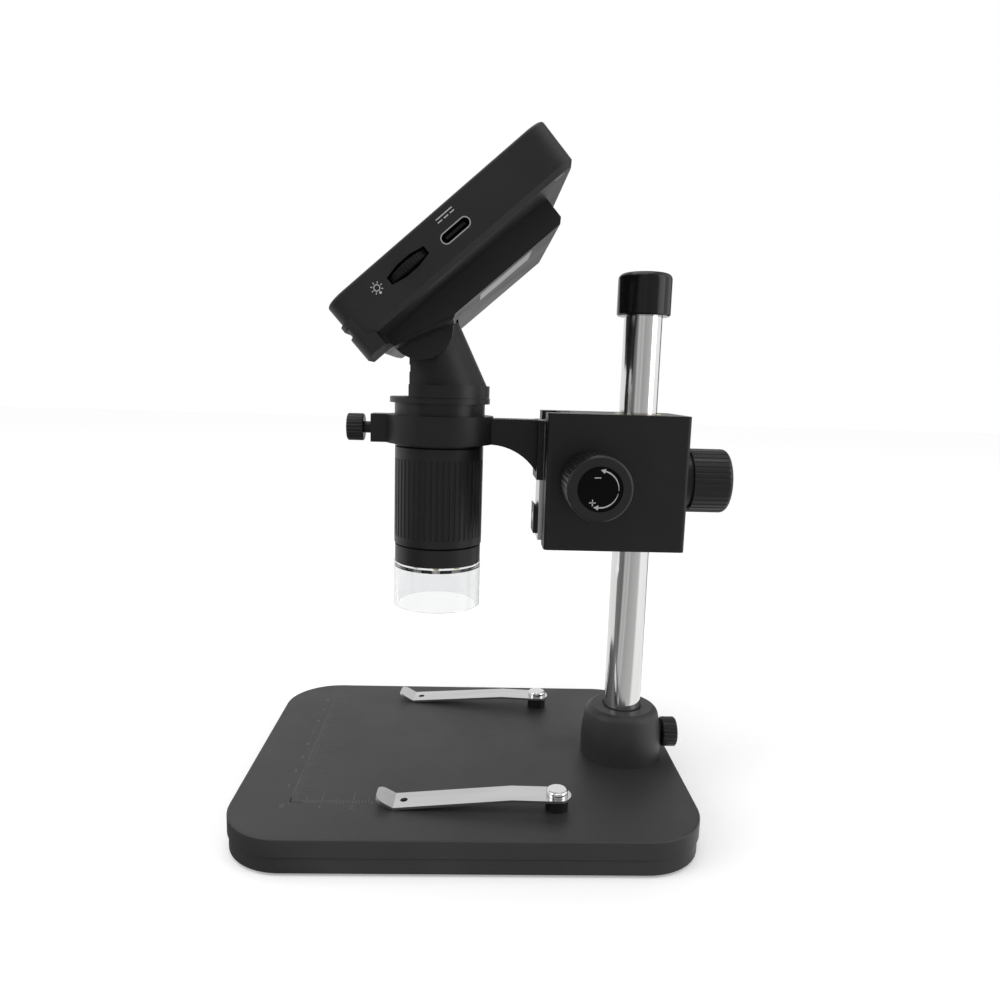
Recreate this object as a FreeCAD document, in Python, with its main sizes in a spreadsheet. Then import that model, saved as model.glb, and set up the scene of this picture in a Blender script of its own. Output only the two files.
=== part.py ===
import FreeCAD
import Part
import Sketcher
import math
import operator
import os

doc = FreeCAD.newDocument("lcd_digital_microscope")
sheet = doc.addObject("Spreadsheet::Sheet", "Sizes")
Vector = FreeCAD.Vector

# Driving dimensions in millimetres, degrees and counts.
# World frame: floor at Z 0, base centred on the origin, screen head over -X, column at +X.
SIZES = {
    # Base: bottom cover, top shell, steel weight, feet and screws
    "base_width": 150, "base_depth": 118, "base_corner": 20,
    "foot_proud": 1.0, "foot_thick": 1.6, "foot_radius": 6.5, "foot_x": 58, "foot_y": 43,
    "cover_height": 4.8, "cover_floor": 2.0, "cover_inset": 0.5,
    "shell_gap": 0.4, "shell_height": 5.8, "shell_roof": 2.6, "shell_wall": 2.0, "shell_edge": 0.6,
    "lip_wall": 1.5, "lip_height": 1.8, "weight_margin": 3.0,
    "boss_x": 55, "boss_y": 30, "boss_radius": 3.5,
    # Fits shared by all the pieces
    "fit": 0.05, "seat_gap": 0.2, "thread_fit": 0.06,
    # Standard fasteners
    "screw_three": 1.5, "head_three": 2.8, "head_height": 1.2,
    "screw_two": 1.0, "head_two": 1.8, "head_two_height": 1.0,
    "thumb_screw": 2.0, "clamp_screw": 3.0,
    # Stage clips
    "clip_x": 29, "clip_y": 40, "post_radius": 3.65, "post_height": 3.8,
    "clip_thick": 0.8, "clip_width": 9, "clip_heel": 4.5, "clip_flat": 14.5, "clip_reach": 51.9,
    "clip_tip": 57.5, "clip_rise": 3.0, "clip_hole": 1.2, "rivet_radius": 3.5, "rivet_dome": 1.85,
    "front_clip_turn": 2, "rear_clip_turn": 6,
    # Column, its socket and its cap
    "column_x": 56.8, "column_radius": 6.5, "column_wall": 1.5, "column_top": 181.5,
    "socket_radius": 14.5, "socket_height": 18.2, "socket_straight": 5.0, "socket_mouth": 11.0,
    "socket_floor": 2.2, "socket_screw_ring": 10.5, "socket_screw_length": 9,
    "cap_radius": 9.1, "cap_height": 14.6, "cap_roof": 2.8, "cap_round": 2.0,
    "thumb_z": 19.8, "thumb_radius": 5.3, "thumb_start": 14.8, "thumb_length": 5.4,
    "pad_thick": 1.5,
    # Focusing block that slides on the column
    "block_left": 32.8, "block_right": 14.6, "block_half": 17, "block_bottom": 91.2,
    "block_height": 45.5, "block_edge": 0.6, "block_round": 1.5, "bush_wall": 1.45,
    "clamp_z": 113.9, "clamp_pad": 2.0, "clamp_start": 15.7, "clamp_collar": 2.8,
    "clamp_collar_radius": 9.8, "clamp_knob_radius": 11.2, "clamp_knob_length": 13.6,
    "knob_chamfer": 2.0, "flute_count": 36, "flute_radius": 0.5,
    # Rack and pinion
    "focus_x": 38.5, "focus_z": 114.8, "gear_module": 0.8, "gear_teeth": 16, "gear_pressure": 25,
    "gear_backlash": 0.16, "gear_width": 7, "rack_width": 6, "rack_back": 2.1, "shaft_radius": 3.0,
    "pinion_bush_radius": 7.6, "focus_knob_start": 19, "focus_knob_length": 19,
    "focus_knob_radius": 10.25, "knob_hub": 5.5, "knob_disc": 7.0, "knob_disc_thick": 0.8,
    "disc_recess": 1.2,
    # Dovetail slide, its stop and the holder arm
    "dovetail_depth": 5.0, "dovetail_face": 7.0, "dovetail_back": 9.0, "slide_proud": 1.3,
    "slide_bottom": 92.6, "slide_top": 133.8, "stop_low": 2.0, "stop_thick": 1.5, "stop_height": 10.2,
    "saddle_half": 8.6, "saddle_thick": 1.2,
    "arm_half": 5, "arm_top": 133.8, "arm_foot": 113.7, "arm_curve": 17.1, "ring_radius": 18.5,
    "ring_bottom": 125.0, "ring_top": 134.5, "ring_boss": 23.3, "ring_thumb_z": 129.7,
    "ring_thumb_start": 25.9, "ring_thumb_length": 5.7, "ring_thumb_radius": 4.65,
    # Barrel
    "barrel_x": 12.0, "barrel_radius": 15.5, "barrel_bottom": 86.5, "barrel_body": 124.2,
    "barrel_inner": 13.4, "barrel_bore": 11.9, "barrel_shelf": 126.5, "barrel_upper_bore": 13.0,
    "flange_radius": 17.15, "flange_bottom": 138.6, "flange_thick": 2.0, "collar_top": 144.7,
    "collar_flat": 21.8, "sleeve_radius": 15.3, "sleeve_bottom": 89.9, "sleeve_rib_low": 92.9,
    "sleeve_rib_high": 119.7, "rib_count": 48, "rib_groove": 0.45,
    "lower_ring_radius": 15.0, "lower_ring_bottom": 83.6, "hood_radius": 15.2, "hood_wall": 1.3,
    "hood_bottom": 68.0, "hood_spigot": 1.0, "led_count": 8, "led_radius": 1.5, "led_ring": 9.5,
    "board_thick": 1.2, "board_hole": 6.5,
    "cell_bottom": 94, "cell_height": 16, "cell_bore": 5.0, "lens_height": 5, "pin_radius": 1.2,
    "focus_travel": 5.0,
    # Neck and hinge
    "neck_radius": 14.5, "neck_top_radius": 12.0, "hinge_x": 17.9, "hinge_z": 162.9,
    "knuckle_radius": 7.5, "knuckle_half": 13.7, "hinge_pin": 2.0, "neck_hollow": 8.5,
    "neck_hollow_height": 8, "spigot_height": 4.0, "neck_screw_y": 9.5, "neck_screw_z": 150.0,
    "seam_shift": 0.3, "neck_top": 1.0, "neck_gap": 0.4,
    # Display, in its own frame: u runs up the screen and n out of it, from the hinge
    "tilt": 41.3, "display_low": 15.9, "display_high": 58.7, "display_half": 60,
    "display_back": 2.2, "display_front": 16.1, "display_corner": 6, "display_wall": 1.8,
    "display_floor": 2.0, "display_chamfer": 1.4, "rim_drop": 0.2,
    "rim_round": 0.8,
    "bulge_half": 36, "bulge_high": 51.5, "bulge_depth": 5.5, "bulge_heel": 9.8, "bulge_toe": 12.5,
    "ear_inner": 14, "ear_outer": 19, "ear_radius": 10.4, "notch_high": 10.8, "heel_ridge": 1.0, "recess_gap": 0.3,
    "bezel_thick": 1.6, "bezel_gap": 0.1, "screen_u": 20.4, "screen_y": 4.0,
    "window_high": 54, "window_wide": 95, "glass_border": 2.5, "glass_thick": 1.0,
    "panel_high": 66, "panel_wide": 98, "panel_thick": 2.6,
    "button_count": 6, "button_y": 53.5, "button_low": 6.0, "button_pitch": 10.6,
    "button_radius": 2.8, "button_proud": 0.3, "button_height": 1.7, "button_flange": 0.35,
    "button_travel": 0.4,
    "dimmer_u": 7.75, "dimmer_radius": 7.6, "dimmer_low": 8.05, "dimmer_thick": 3.4,
    "dimmer_proud": 1.3, "dimmer_slot": 12.7, "dimmer_slot_end": 2.3, "dimmer_slot_middle": 3.9,
    "usb_u": 23.0, "usb_n": 8.6, "usb_width": 9.4, "usb_high": 3.2, "usb_depth": 7.3,
    "board_low": 5.4, "mainboard_thick": 1.6, "battery_high": 28, "battery_wide": 62,
    "battery_thick": 5.6, "port_y": 50.3, "port_width": 18.5, "port_thick": 0.8,
    "port_drop": 1.5, "port_reach": 7.4,
    "card_low": 5.4, "card_high": 2.7, "card_width": 11.2, "card_y": 47.0, "card_depth": 11,
}
for row, (alias, amount) in enumerate(SIZES.items(), 1):
    sheet.set(f"A{row}", alias)
    sheet.set(f"B{row}", str(amount))
    sheet.setAlias(f"B{row}", alias)
doc.recompute()

OPERATIONS = {"+": operator.add, "-": operator.sub, "*": operator.mul, "/": operator.truediv}


class Size:
    """A number that carries the sheet expression it comes from."""

    def __init__(self, value, text):
        self.value = float(value)
        self.text = text

    def __add__(self, other):
        return joined(self, "+", other)

    def __radd__(self, other):
        return joined(other, "+", self)

    def __sub__(self, other):
        return joined(self, "-", other)

    def __rsub__(self, other):
        return joined(other, "-", self)

    def __mul__(self, other):
        return joined(self, "*", other)

    def __rmul__(self, other):
        return joined(other, "*", self)

    def __truediv__(self, other):
        return joined(self, "/", other)

    def __rtruediv__(self, other):
        return joined(other, "/", self)

    def __neg__(self):
        return joined(0, "-", self)


class Sheet:
    """Reads a cell by its alias as a Size."""

    def __getattr__(self, alias):
        return Size(sheet.get(alias), "Sizes." + alias)


def number(size):
    return size.value if isinstance(size, Size) else float(size)


def text(size):
    return size.text if isinstance(size, Size) else repr(float(size))


def joined(first, sign, second):
    value = OPERATIONS[sign](number(first), number(second))
    return Size(value, f"({text(first)} {sign} {text(second)})")


def cosine(angle):
    return Size(math.cos(math.radians(number(angle))), f"cos({text(angle)} * 1 deg)")


def sine(angle):
    return Size(math.sin(math.radians(number(angle))), f"sin({text(angle)} * 1 deg)")


def arctangent(ratio):
    return Size(math.degrees(math.atan(number(ratio))), f"(atan({text(ratio)}) / 1 deg)")


s = Sheet()

# Levels and faces worked out from the driving dimensions
cover_bottom = s.foot_proud
cover_top = cover_bottom + s.cover_height
shell_bottom = cover_top + s.shell_gap
base_top = shell_bottom + s.shell_height
floor_top = cover_bottom + s.cover_floor
roof_under = base_top - s.shell_roof
weight_top = roof_under - s.seat_gap
shaft_x = s.focus_x - s.column_x
slide_back = s.dovetail_depth - s.block_left
pitch_radius = s.gear_module * s.gear_teeth / 2
barrel_center = -s.barrel_x
hinge_x = -s.hinge_x
shell_inside = s.display_back + s.display_floor
bezel_back = s.display_front - s.bezel_thick
bezel_inset = s.display_wall + s.bezel_gap
board_top = s.board_low + s.mainboard_thick

# Turns the local Z axis onto the named direction
TURNS = {
    "X": (Vector(0, 1, 0), 90), "-X": (Vector(0, 1, 0), -90),
    "Y": (Vector(1, 0, 0), -90), "-Y": (Vector(1, 0, 0), 90),
    "Z": (Vector(0, 0, 1), 0), "-Z": (Vector(1, 0, 0), 180),
}
subparts = []


def bind(item, **sizes):
    """Binds properties to sheet expressions; two underscores stand for a dot."""
    for name, size in sizes.items():
        item.setExpression(name.replace("__", "."), text(size))


def place(item, at=(0, 0, 0), axis="Z", angle=None):
    """Places an item at a point, with its local Z along the axis or turned by a bound angle."""
    direction, degrees = TURNS[axis]
    if angle is not None:
        direction, degrees = angle[0], number(angle[1])
    item.Placement = FreeCAD.Placement(Vector(*map(number, at)), FreeCAD.Rotation(direction, degrees))
    for letter, size in zip("xyz", at):
        bind(item, **{"Placement__Base__" + letter: size})
    if angle is not None:
        bind(item, Placement__Rotation__Angle=angle[1])


def tilted(u, y, n):
    """A point of the display's tilted frame, measured from the hinge along the world axes."""
    return u * cosine(s.tilt) - n * sine(s.tilt), y, u * sine(s.tilt) + n * cosine(s.tilt)


def in_display(u, y, n):
    """The world point of a point in the display's tilted frame."""
    x, y, z = tilted(u, y, n)
    return hinge_x + x, y, s.hinge_z + z


def new_body(label, kept=True):
    body = doc.addObject("PartDesign::Body", label)
    body.Label = label
    body.AllowCompound = True
    if kept:
        subparts.append(body)
    return body


def group(label, members):
    """One sub-part made of several like pieces."""
    compound = doc.addObject("Part::Compound", label)
    compound.Label = label
    compound.Links = members
    subparts.append(compound)
    return compound


def new_sketch(body, name, role="XY_Plane", lift=0):
    sketch = body.newObject("Sketcher::SketchObject", name)
    plane = [feature for feature in body.Origin.OriginFeatures if feature.Role == role][0]
    sketch.AttachmentSupport = [(plane, "")]
    sketch.MapMode = "FlatFace"
    bind(sketch, AttachmentOffset__Base__z=lift)
    return sketch


def dimension(sketch, kind, places, size):
    index = sketch.addConstraint(Sketcher.Constraint(kind, *places, number(size)))
    sketch.setExpression(f"Constraints[{index}]", text(size))


def pin_point(sketch, geometry, end, x, y):
    """Fixes a sketch point by its two bound coordinates."""
    for kind, size, axis in (("DistanceX", x, -2), ("DistanceY", y, -1)):
        if isinstance(size, Size):
            dimension(sketch, kind, (geometry, end), size)
        elif size == 0:
            sketch.addConstraint(Sketcher.Constraint("PointOnObject", geometry, end, axis))
        else:
            sketch.addConstraint(Sketcher.Constraint(kind, geometry, end, float(size)))


def tangent_arc(start, end, heading):
    """The arc that leaves start along heading: the curve, its last direction, if it is clockwise."""
    chord = end - start
    turn = math.atan2(heading.x * chord.y - heading.y * chord.x, heading * chord)
    reach = chord.Length / (2 * math.cos(turn / 2))
    half = FreeCAD.Rotation(Vector(0, 0, 1), math.degrees(turn / 2)).multVec(heading)
    last = FreeCAD.Rotation(Vector(0, 0, 1), math.degrees(2 * turn)).multVec(heading)
    return Part.Arc(start, start + half * reach, end), last, turn < 0


def outline(sketch, points):
    """A closed outline; a point marked arc is reached by an arc tangent to the edge before."""
    count = len(points)
    curved = [len(points[(i + 1) % count]) > 2 for i in range(count)]
    flat = [Vector(number(point[0]), number(point[1]), 0) for point in points]
    heading = None
    ends = []
    for i, start in enumerate(flat):
        finish = flat[(i + 1) % count]
        if curved[i]:
            edge, heading, clockwise = tangent_arc(start, finish, heading)
        else:
            edge, heading, clockwise = Part.LineSegment(start, finish), (finish - start).normalize(), False
        sketch.addGeometry(edge, False)
        ends.append((2, 1) if clockwise else (1, 2))
    for i in range(count):
        following = (i + 1) % count
        join = "Tangent" if curved[following] else "Coincident"
        sketch.addConstraint(Sketcher.Constraint(join, i, ends[i][1], following, ends[following][0]))
    for i, point in enumerate(points):
        pin_point(sketch, i, ends[i][0], point[0], point[1])
    return sketch


def turned(body, points, name="Turned"):
    """A revolved piece from (radius, height) points about the local Z axis."""
    sketch = outline(new_sketch(body, name + "Outline", "XZ_Plane"), points)
    spin = body.newObject("PartDesign::Revolution", name)
    spin.Profile = sketch
    spin.ReferenceAxis = (sketch, ["V_Axis"])
    spin.Angle = 360
    return spin


def prism(body, points, low, high, role="XY_Plane", cut=False, name="Prism"):
    """An outline on a plane, added or cut along the plane's normal from low to high."""
    sketch = outline(new_sketch(body, name + "Outline", role, low), points)
    feature = body.newObject("PartDesign::Pocket" if cut else "PartDesign::Pad", name)
    feature.Profile = sketch
    if cut:
        feature.Reversed = True
    bind(feature, Length=high - low)
    return feature


def rounded(width, depth, corner, center=(0, 0)):
    """The points of a rectangle with four round corners."""
    x, y = width / 2, depth / 2
    a, b = center
    return [
        (a + corner - x, b - y, "arc"), (a + x - corner, b - y), (a + x, b + corner - y, "arc"),
        (a + x, b + y - corner), (a + x - corner, b + y, "arc"), (a + corner - x, b + y),
        (a - x, b + y - corner, "arc"), (a - x, b + corner - y),
    ]


def slab(body, width, depth, corner, low, high, center=(0, 0), cut=False, name="Slab"):
    """A rounded rectangle between two heights."""
    return prism(body, rounded(width, depth, corner, center), low, high, cut=cut, name=name)


def box(body, size, at=(0, 0, 0), cut=False, name="Box"):
    """A box from its lowest corner."""
    feature = body.newObject("PartDesign::SubtractiveBox" if cut else "PartDesign::AdditiveBox", name)
    place(feature, at)
    bind(feature, Length=size[0], Width=size[1], Height=size[2])
    return feature


def rod(body, radius, length, at=(0, 0, 0), axis="Z", cut=False, name="Rod"):
    """A cylinder that starts at a point and runs along the axis."""
    kind = "PartDesign::SubtractiveCylinder" if cut else "PartDesign::AdditiveCylinder"
    feature = body.newObject(kind, name)
    place(feature, at, axis)
    bind(feature, Radius=radius, Height=length)
    return feature


def oval(body, width, height, depth, at, cut=False, name="Oval"):
    """A bar with round ends along the local Y axis; at is the middle of its near face."""
    x, y, z = at
    half = (width - height) / 2
    box(body, (2 * half, depth, height), (x - half, y, z - height / 2), cut, name)
    for end in (x - half, x + half):
        rod(body, height / 2, depth, (end, y, z), "Y", cut, name + "End")


def flutes(body, radius, groove, low, high, count, name="Flute"):
    """Round grooves along the local Z axis, evenly spaced about it."""
    sketch = new_sketch(body, name + "Outline", "XY_Plane", low)
    sketch.addGeometry(Part.Circle(Vector(number(radius), 0, 0), Vector(0, 0, 1), number(groove)), False)
    pin_point(sketch, 0, 3, radius, 0)
    dimension(sketch, "Radius", (0,), groove)
    pocket = body.newObject("PartDesign::Pocket", name)
    pocket.Profile = sketch
    pocket.Reversed = True
    bind(pocket, Length=high - low)
    pattern = body.newObject("PartDesign::PolarPattern", name + "Ring")
    pattern.Originals = [pocket]
    pattern.Axis = (sketch, ["N_Axis"])
    pattern.Angle = 360
    bind(pattern, Occurrences=count)
    body.Tip = pattern
    return pattern


def dress(body, kind, size, wanted, name="Dress"):
    """A fillet or chamfer on the edges of the body that a test picks."""
    doc.recompute()
    base = body.Tip
    names = [f"Edge{i}" for i, edge in enumerate(base.Shape.Edges, 1) if wanted(edge)]
    feature = body.newObject("PartDesign::" + kind, name)
    feature.Base = (base, names)
    bind(feature, **{"Radius" if kind == "Fillet" else "Size": size})
    return feature


def along(edge, letter):
    """True for a straight edge along the named axis."""
    vector = edge.tangentAt(edge.FirstParameter)
    return edge.Curve.TypeId == "Part::GeomLine" and abs(abs(getattr(vector, letter)) - 1) < 1e-6


def at_height(edge, height):
    """True for an edge that lies flat at a height of the local frame."""
    bounds = edge.BoundBox
    return abs(bounds.ZMin - number(height)) < 1e-4 and abs(bounds.ZMax - number(height)) < 1e-4


def screw(label, radius, length, head_radius, head_height, at, axis):
    """A plain screw: its head's outer face is at the point and its shank runs along the axis."""
    body = new_body(label, kept=False)
    turned(body, [
        (0, 0), (head_radius, 0), (head_radius, head_height), (radius, head_height),
        (radius, head_height + length), (0, head_height + length),
    ])
    place(body, at, axis)
    return body


def corners(x, y):
    """The four points at plus and minus x and y."""
    return [(x, y), (-x, y), (-x, -y), (x, -y)]


def base_bottom_cover():
    body = new_body("base_bottom_cover")
    width, depth = s.base_width - 2 * s.cover_inset, s.base_depth - 2 * s.cover_inset
    corner = s.base_corner - s.cover_inset
    slab(body, width, depth, corner, cover_bottom, cover_top, name="Tray")
    lip = 2 * (s.shell_wall + s.seat_gap)
    slab(body, s.base_width - lip, s.base_depth - lip, s.base_corner - lip / 2,
         cover_top, cover_top + s.lip_height, name="Lip")
    hollow = lip + 2 * s.lip_wall
    slab(body, s.base_width - hollow, s.base_depth - hollow, s.base_corner - hollow / 2,
         floor_top, cover_top + s.lip_height, cut=True, name="Hollow")
    recess = s.foot_thick - s.foot_proud
    for x, y in corners(s.foot_x, s.foot_y):
        rod(body, s.foot_radius + s.fit, recess, (x, y, cover_bottom), cut=True, name="FootRecess")
    for x, y in corners(s.boss_x, s.boss_y):
        rod(body, s.screw_three + s.thread_fit, s.cover_floor, (x, y, cover_bottom), cut=True, name="Hole")
        rod(body, s.head_three + s.seat_gap, s.head_height, (x, y, cover_bottom), cut=True, name="HeadSeat")


def base_top_shell():
    body = new_body("base_top_shell")
    slab(body, s.base_width, s.base_depth, s.base_corner, shell_bottom, base_top, name="Shell")
    dress(body, "Fillet", s.shell_edge, lambda edge: at_height(edge, base_top))
    slab(body, s.base_width - 2 * s.shell_wall, s.base_depth - 2 * s.shell_wall,
         s.base_corner - s.shell_wall, shell_bottom, roof_under, cut=True, name="Hollow")
    boss_height = roof_under - floor_top + s.shell_roof / 2
    for x, y in corners(s.boss_x, s.boss_y):
        rod(body, s.boss_radius, boss_height, (x, y, floor_top), name="Boss")
        rod(body, s.screw_three + s.thread_fit, boss_height - s.shell_roof / 2,
            (x, y, floor_top), cut=True, name="BossHole")
    for x, y in socket_screw_points():
        rod(body, s.screw_three + s.thread_fit, s.shell_roof, (x, y, roof_under), cut=True, name="SocketHole")
    for y in (s.clip_y, -s.clip_y):
        rod(body, s.screw_three + s.thread_fit, s.shell_roof, (s.clip_x, y, roof_under), cut=True,
            name="ClipHole")


def socket_screw_points():
    """Three points on a ring about the column."""
    return [
        (s.column_x + s.socket_screw_ring * cosine(angle), s.socket_screw_ring * sine(angle))
        for angle in (60, 180, 300)
    ]


def base_weight_plate():
    body = new_body("base_weight_plate")
    inset = 2 * (s.shell_wall + s.seat_gap + s.lip_wall + s.weight_margin)
    slab(body, s.base_width - inset, s.base_depth - inset, s.base_corner - inset / 2,
         floor_top, weight_top, name="Plate")
    thick = weight_top - floor_top
    for x, y in corners(s.boss_x, s.boss_y):
        rod(body, s.boss_radius + 2 * s.seat_gap, thick, (x, y, floor_top), cut=True, name="BossHole")
    for x, y in socket_screw_points():
        rod(body, s.screw_three + s.thread_fit, thick, (x, y, floor_top), cut=True, name="SocketHole")
        rod(body, s.head_three + s.seat_gap, s.head_height, (x, y, floor_top), cut=True, name="HeadSeat")
    for y in (s.clip_y, -s.clip_y):
        rod(body, s.rivet_radius, thick, (s.clip_x, y, floor_top), cut=True, name="RivetHole")


def base_feet():
    feet = []
    for x, y in corners(s.foot_x, s.foot_y):
        foot = new_body("foot", kept=False)
        edge = s.foot_thick / 4
        turned(foot, [
            (0, 0), (s.foot_radius - edge, 0), (s.foot_radius, edge), (s.foot_radius, s.foot_thick),
            (0, s.foot_thick),
        ])
        place(foot, (x, y, 0))
        feet.append(foot)
    group("base_feet", feet)


def base_screws():
    """Four screws that close the base and three that hold the column socket."""
    length = roof_under - floor_top - s.seat_gap
    screws = [
        screw("case_screw", s.screw_three, length, s.head_three, s.head_height, (x, y, cover_bottom), "Z")
        for x, y in corners(s.boss_x, s.boss_y)
    ]
    length = base_top - floor_top - s.head_height + s.socket_screw_length - s.seat_gap
    screws += [
        screw("socket_screw", s.screw_three, length, s.head_three, s.head_height, (x, y, floor_top), "Z")
        for x, y in socket_screw_points()
    ]
    group("base_screws", screws)


def column_socket():
    body = new_body("column_socket")
    bore = s.column_radius + s.fit
    mouth = s.socket_height / 24
    turned(body, [
        (0, 0), (s.socket_radius, 0), (s.socket_radius, s.socket_straight),
        (s.socket_radius - s.socket_straight / 4, s.socket_height - s.socket_straight / 2, "arc"),
        (s.socket_mouth, s.socket_height, "arc"),
        (bore + mouth, s.socket_height), (bore, s.socket_height - mouth), (bore, s.socket_floor),
        (0, s.socket_floor),
    ])
    place(body, (s.column_x, 0, base_top))
    rod(body, s.thumb_screw + s.thread_fit, s.socket_radius, (0, 0, s.thumb_z - base_top), "X", cut=True,
        name="ThumbHole")
    for x, y in socket_screw_points():
        rod(body, s.screw_three + s.thread_fit, s.socket_screw_length, (x - s.column_x, y, 0), cut=True,
            name="ScrewHole")


def clip_posts():
    posts = []
    for y in (s.clip_y, -s.clip_y):
        post = new_body("post", kept=False)
        turned(post, [
            (s.screw_three + s.thread_fit, 0), (s.post_radius, 0), (s.post_radius, s.post_height),
            (s.screw_three + s.thread_fit, s.post_height),
        ])
        place(post, (s.clip_x, y, base_top))
        posts.append(post)
    group("clip_posts", posts)


def clip_rivets():
    """Domed rivets that hold the clips down, with their upset heads under the shell."""
    rivets = []
    clip_top = base_top + s.post_height + s.clip_thick + 2 * s.fit
    for y in (s.clip_y, -s.clip_y):
        rivet = new_body("rivet", kept=False)
        low = roof_under - clip_top
        turned(rivet, [
            (0, low - s.head_height), (s.head_three, low - s.head_height), (s.head_three, low),
            (s.screw_three, low), (s.screw_three, 0), (s.rivet_radius, 0),
            (s.rivet_radius, s.rivet_dome / 2),
            (s.rivet_radius - s.rivet_dome / 2, s.rivet_dome, "arc"), (0, s.rivet_dome),
        ])
        place(rivet, (s.clip_x, y, clip_top))
        rivets.append(rivet)
    group("clip_rivets", rivets)


def stage_clip(label, y, turn):
    """A sprung steel strip: flat at the rivet, sloping down to a bend on the stage, tip turned up."""
    body = new_body(label)
    thick, low = s.clip_thick, s.post_height
    knee = s.clip_x - s.clip_flat
    side = [
        (s.clip_heel, 0), (s.clip_heel, thick), (-knee, thick), (-s.clip_reach, thick - low + s.fit),
        (-s.clip_tip, s.clip_rise + thick - low), (-s.clip_tip - thick / 2, s.clip_rise - low),
        (-s.clip_reach, s.fit - low), (-knee, 0),
    ]
    prism(body, side, -s.clip_width / 2, s.clip_width / 2, "XZ_Plane", name="Strip")
    heel, tip = number(s.clip_heel), -number(s.clip_tip)
    dress(body, "Fillet", s.clip_width / 2 - 2 * s.fit,
          lambda edge: along(edge, "z") and abs(edge.CenterOfMass.x - heel) < 0.01, name="Heel")
    dress(body, "Fillet", s.clip_width / 3,
          lambda edge: edge.CenterOfMass.x < tip and edge.Length < 1.5, name="Tip")
    rod(body, s.screw_three + s.fit, 2 * thick, (0, 0, -thick / 2), cut=True, name="RivetHole")
    rod(body, s.clip_hole, s.post_height + thick, (s.clip_width / 3 - s.clip_reach, 0, -s.post_height),
        cut=True, name="Hole")
    place(body, (s.clip_x, y, base_top + s.post_height + s.fit), angle=(Vector(0, 0, -1), turn))


def thumb_knob(body, radius, start, length, thread, reach, flats, name="Knob"):
    """A knurled head along the local Z axis with a threaded shank that reaches back to reach."""
    edge = radius / 12
    turned(body, [
        (0, reach), (thread, reach), (thread, start), (radius - edge, start), (radius, start + edge),
        (radius, start + length - edge), (radius - edge, start + length), (0, start + length),
    ], name)
    flutes(body, radius + s.flute_radius / 2, s.flute_radius, start, start + length, flats)


def small_thumbscrew(prefix, held, start, length, radius, at, axis):
    """A nylon tip that touches a round part of radius held, and the knurled screw behind it."""
    face = held + s.fit
    back = face + s.pad_thick
    tip = new_body(prefix + "_screw_tip")
    turned(tip, [(0, face), (s.thumb_screw, face), (s.thumb_screw, back), (0, back)])
    place(tip, at, axis)
    body = new_body(prefix + "_thumbscrew")
    thumb_knob(body, radius, start, length, s.thumb_screw, back + s.fit, s.flute_count / 1.5)
    place(body, at, axis)


def column_tube():
    body = new_body("column_tube")
    foot = base_top + s.socket_floor + s.fit
    bore = s.column_radius - s.column_wall
    edge = s.column_wall / 4
    turned(body, [
        (bore, 0), (s.column_radius - edge, 0), (s.column_radius, edge),
        (s.column_radius, s.column_top - foot), (bore, s.column_top - foot),
    ])
    place(body, (s.column_x, 0, foot))


def column_cap():
    body = new_body("column_cap")
    bore = s.column_radius + s.fit
    inside = s.cap_height - s.cap_roof
    edge = s.cap_round / 4
    turned(body, [
        (bore, 0), (s.cap_radius - edge, 0), (s.cap_radius, edge),
        (s.cap_radius, s.cap_height - s.cap_round - edge),
        (s.cap_radius - s.cap_round, s.cap_height - edge, "arc"), (0, s.cap_height), (0, inside),
        (bore, inside),
    ])
    place(body, (s.column_x, 0, s.column_top - inside))


def dovetail(face, back, clearance):
    """The dovetail's outline seen from above, widened or narrowed by a clearance."""
    return [
        (face, -s.dovetail_face - clearance), (-s.block_left, -s.dovetail_face - clearance),
        (back, -s.dovetail_back - clearance), (back, s.dovetail_back + clearance),
        (-s.block_left, s.dovetail_face + clearance), (face, s.dovetail_face + clearance),
    ]


def block_housing():
    body = new_body("block_housing")
    box(body, (s.block_left + s.block_right, 2 * s.block_half, s.block_height),
        (-s.block_left, -s.block_half, 0), name="Block")
    dress(body, "Fillet", s.block_round, lambda edge: along(edge, "z"), name="Corners")
    top = s.block_height
    rod(body, s.column_radius + s.bush_wall + 2 * s.fit, top, cut=True, name="ColumnBore")
    prism(body, dovetail(-s.block_left - 1, slide_back + s.fit, s.fit), 0, top, cut=True, name="Channel")
    rack_clear = s.rack_back + 2.25 * s.gear_module + s.seat_gap
    box(body, (rack_clear, s.rack_width + 4 * s.seat_gap, top),
        (slide_back, -s.rack_width / 2 - 2 * s.seat_gap, 0), cut=True, name="RackGroove")
    height = s.focus_z - s.block_bottom
    rod(body, s.shaft_radius + s.fit, 2 * s.block_half, (shaft_x, -s.block_half, height), "Y", cut=True,
        name="ShaftBore")
    rod(body, s.pinion_bush_radius + s.fit, s.block_half + s.gear_width / 2 + s.seat_gap,
        (shaft_x, -s.gear_width / 2 - s.seat_gap, height), "Y", cut=True, name="PinionBore")
    rod(body, s.clamp_screw + s.thread_fit, s.block_right, (0, 0, s.clamp_z - s.block_bottom), "X", cut=True,
        name="ClampBore")
    place(body, (s.column_x, 0, s.block_bottom))


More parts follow.
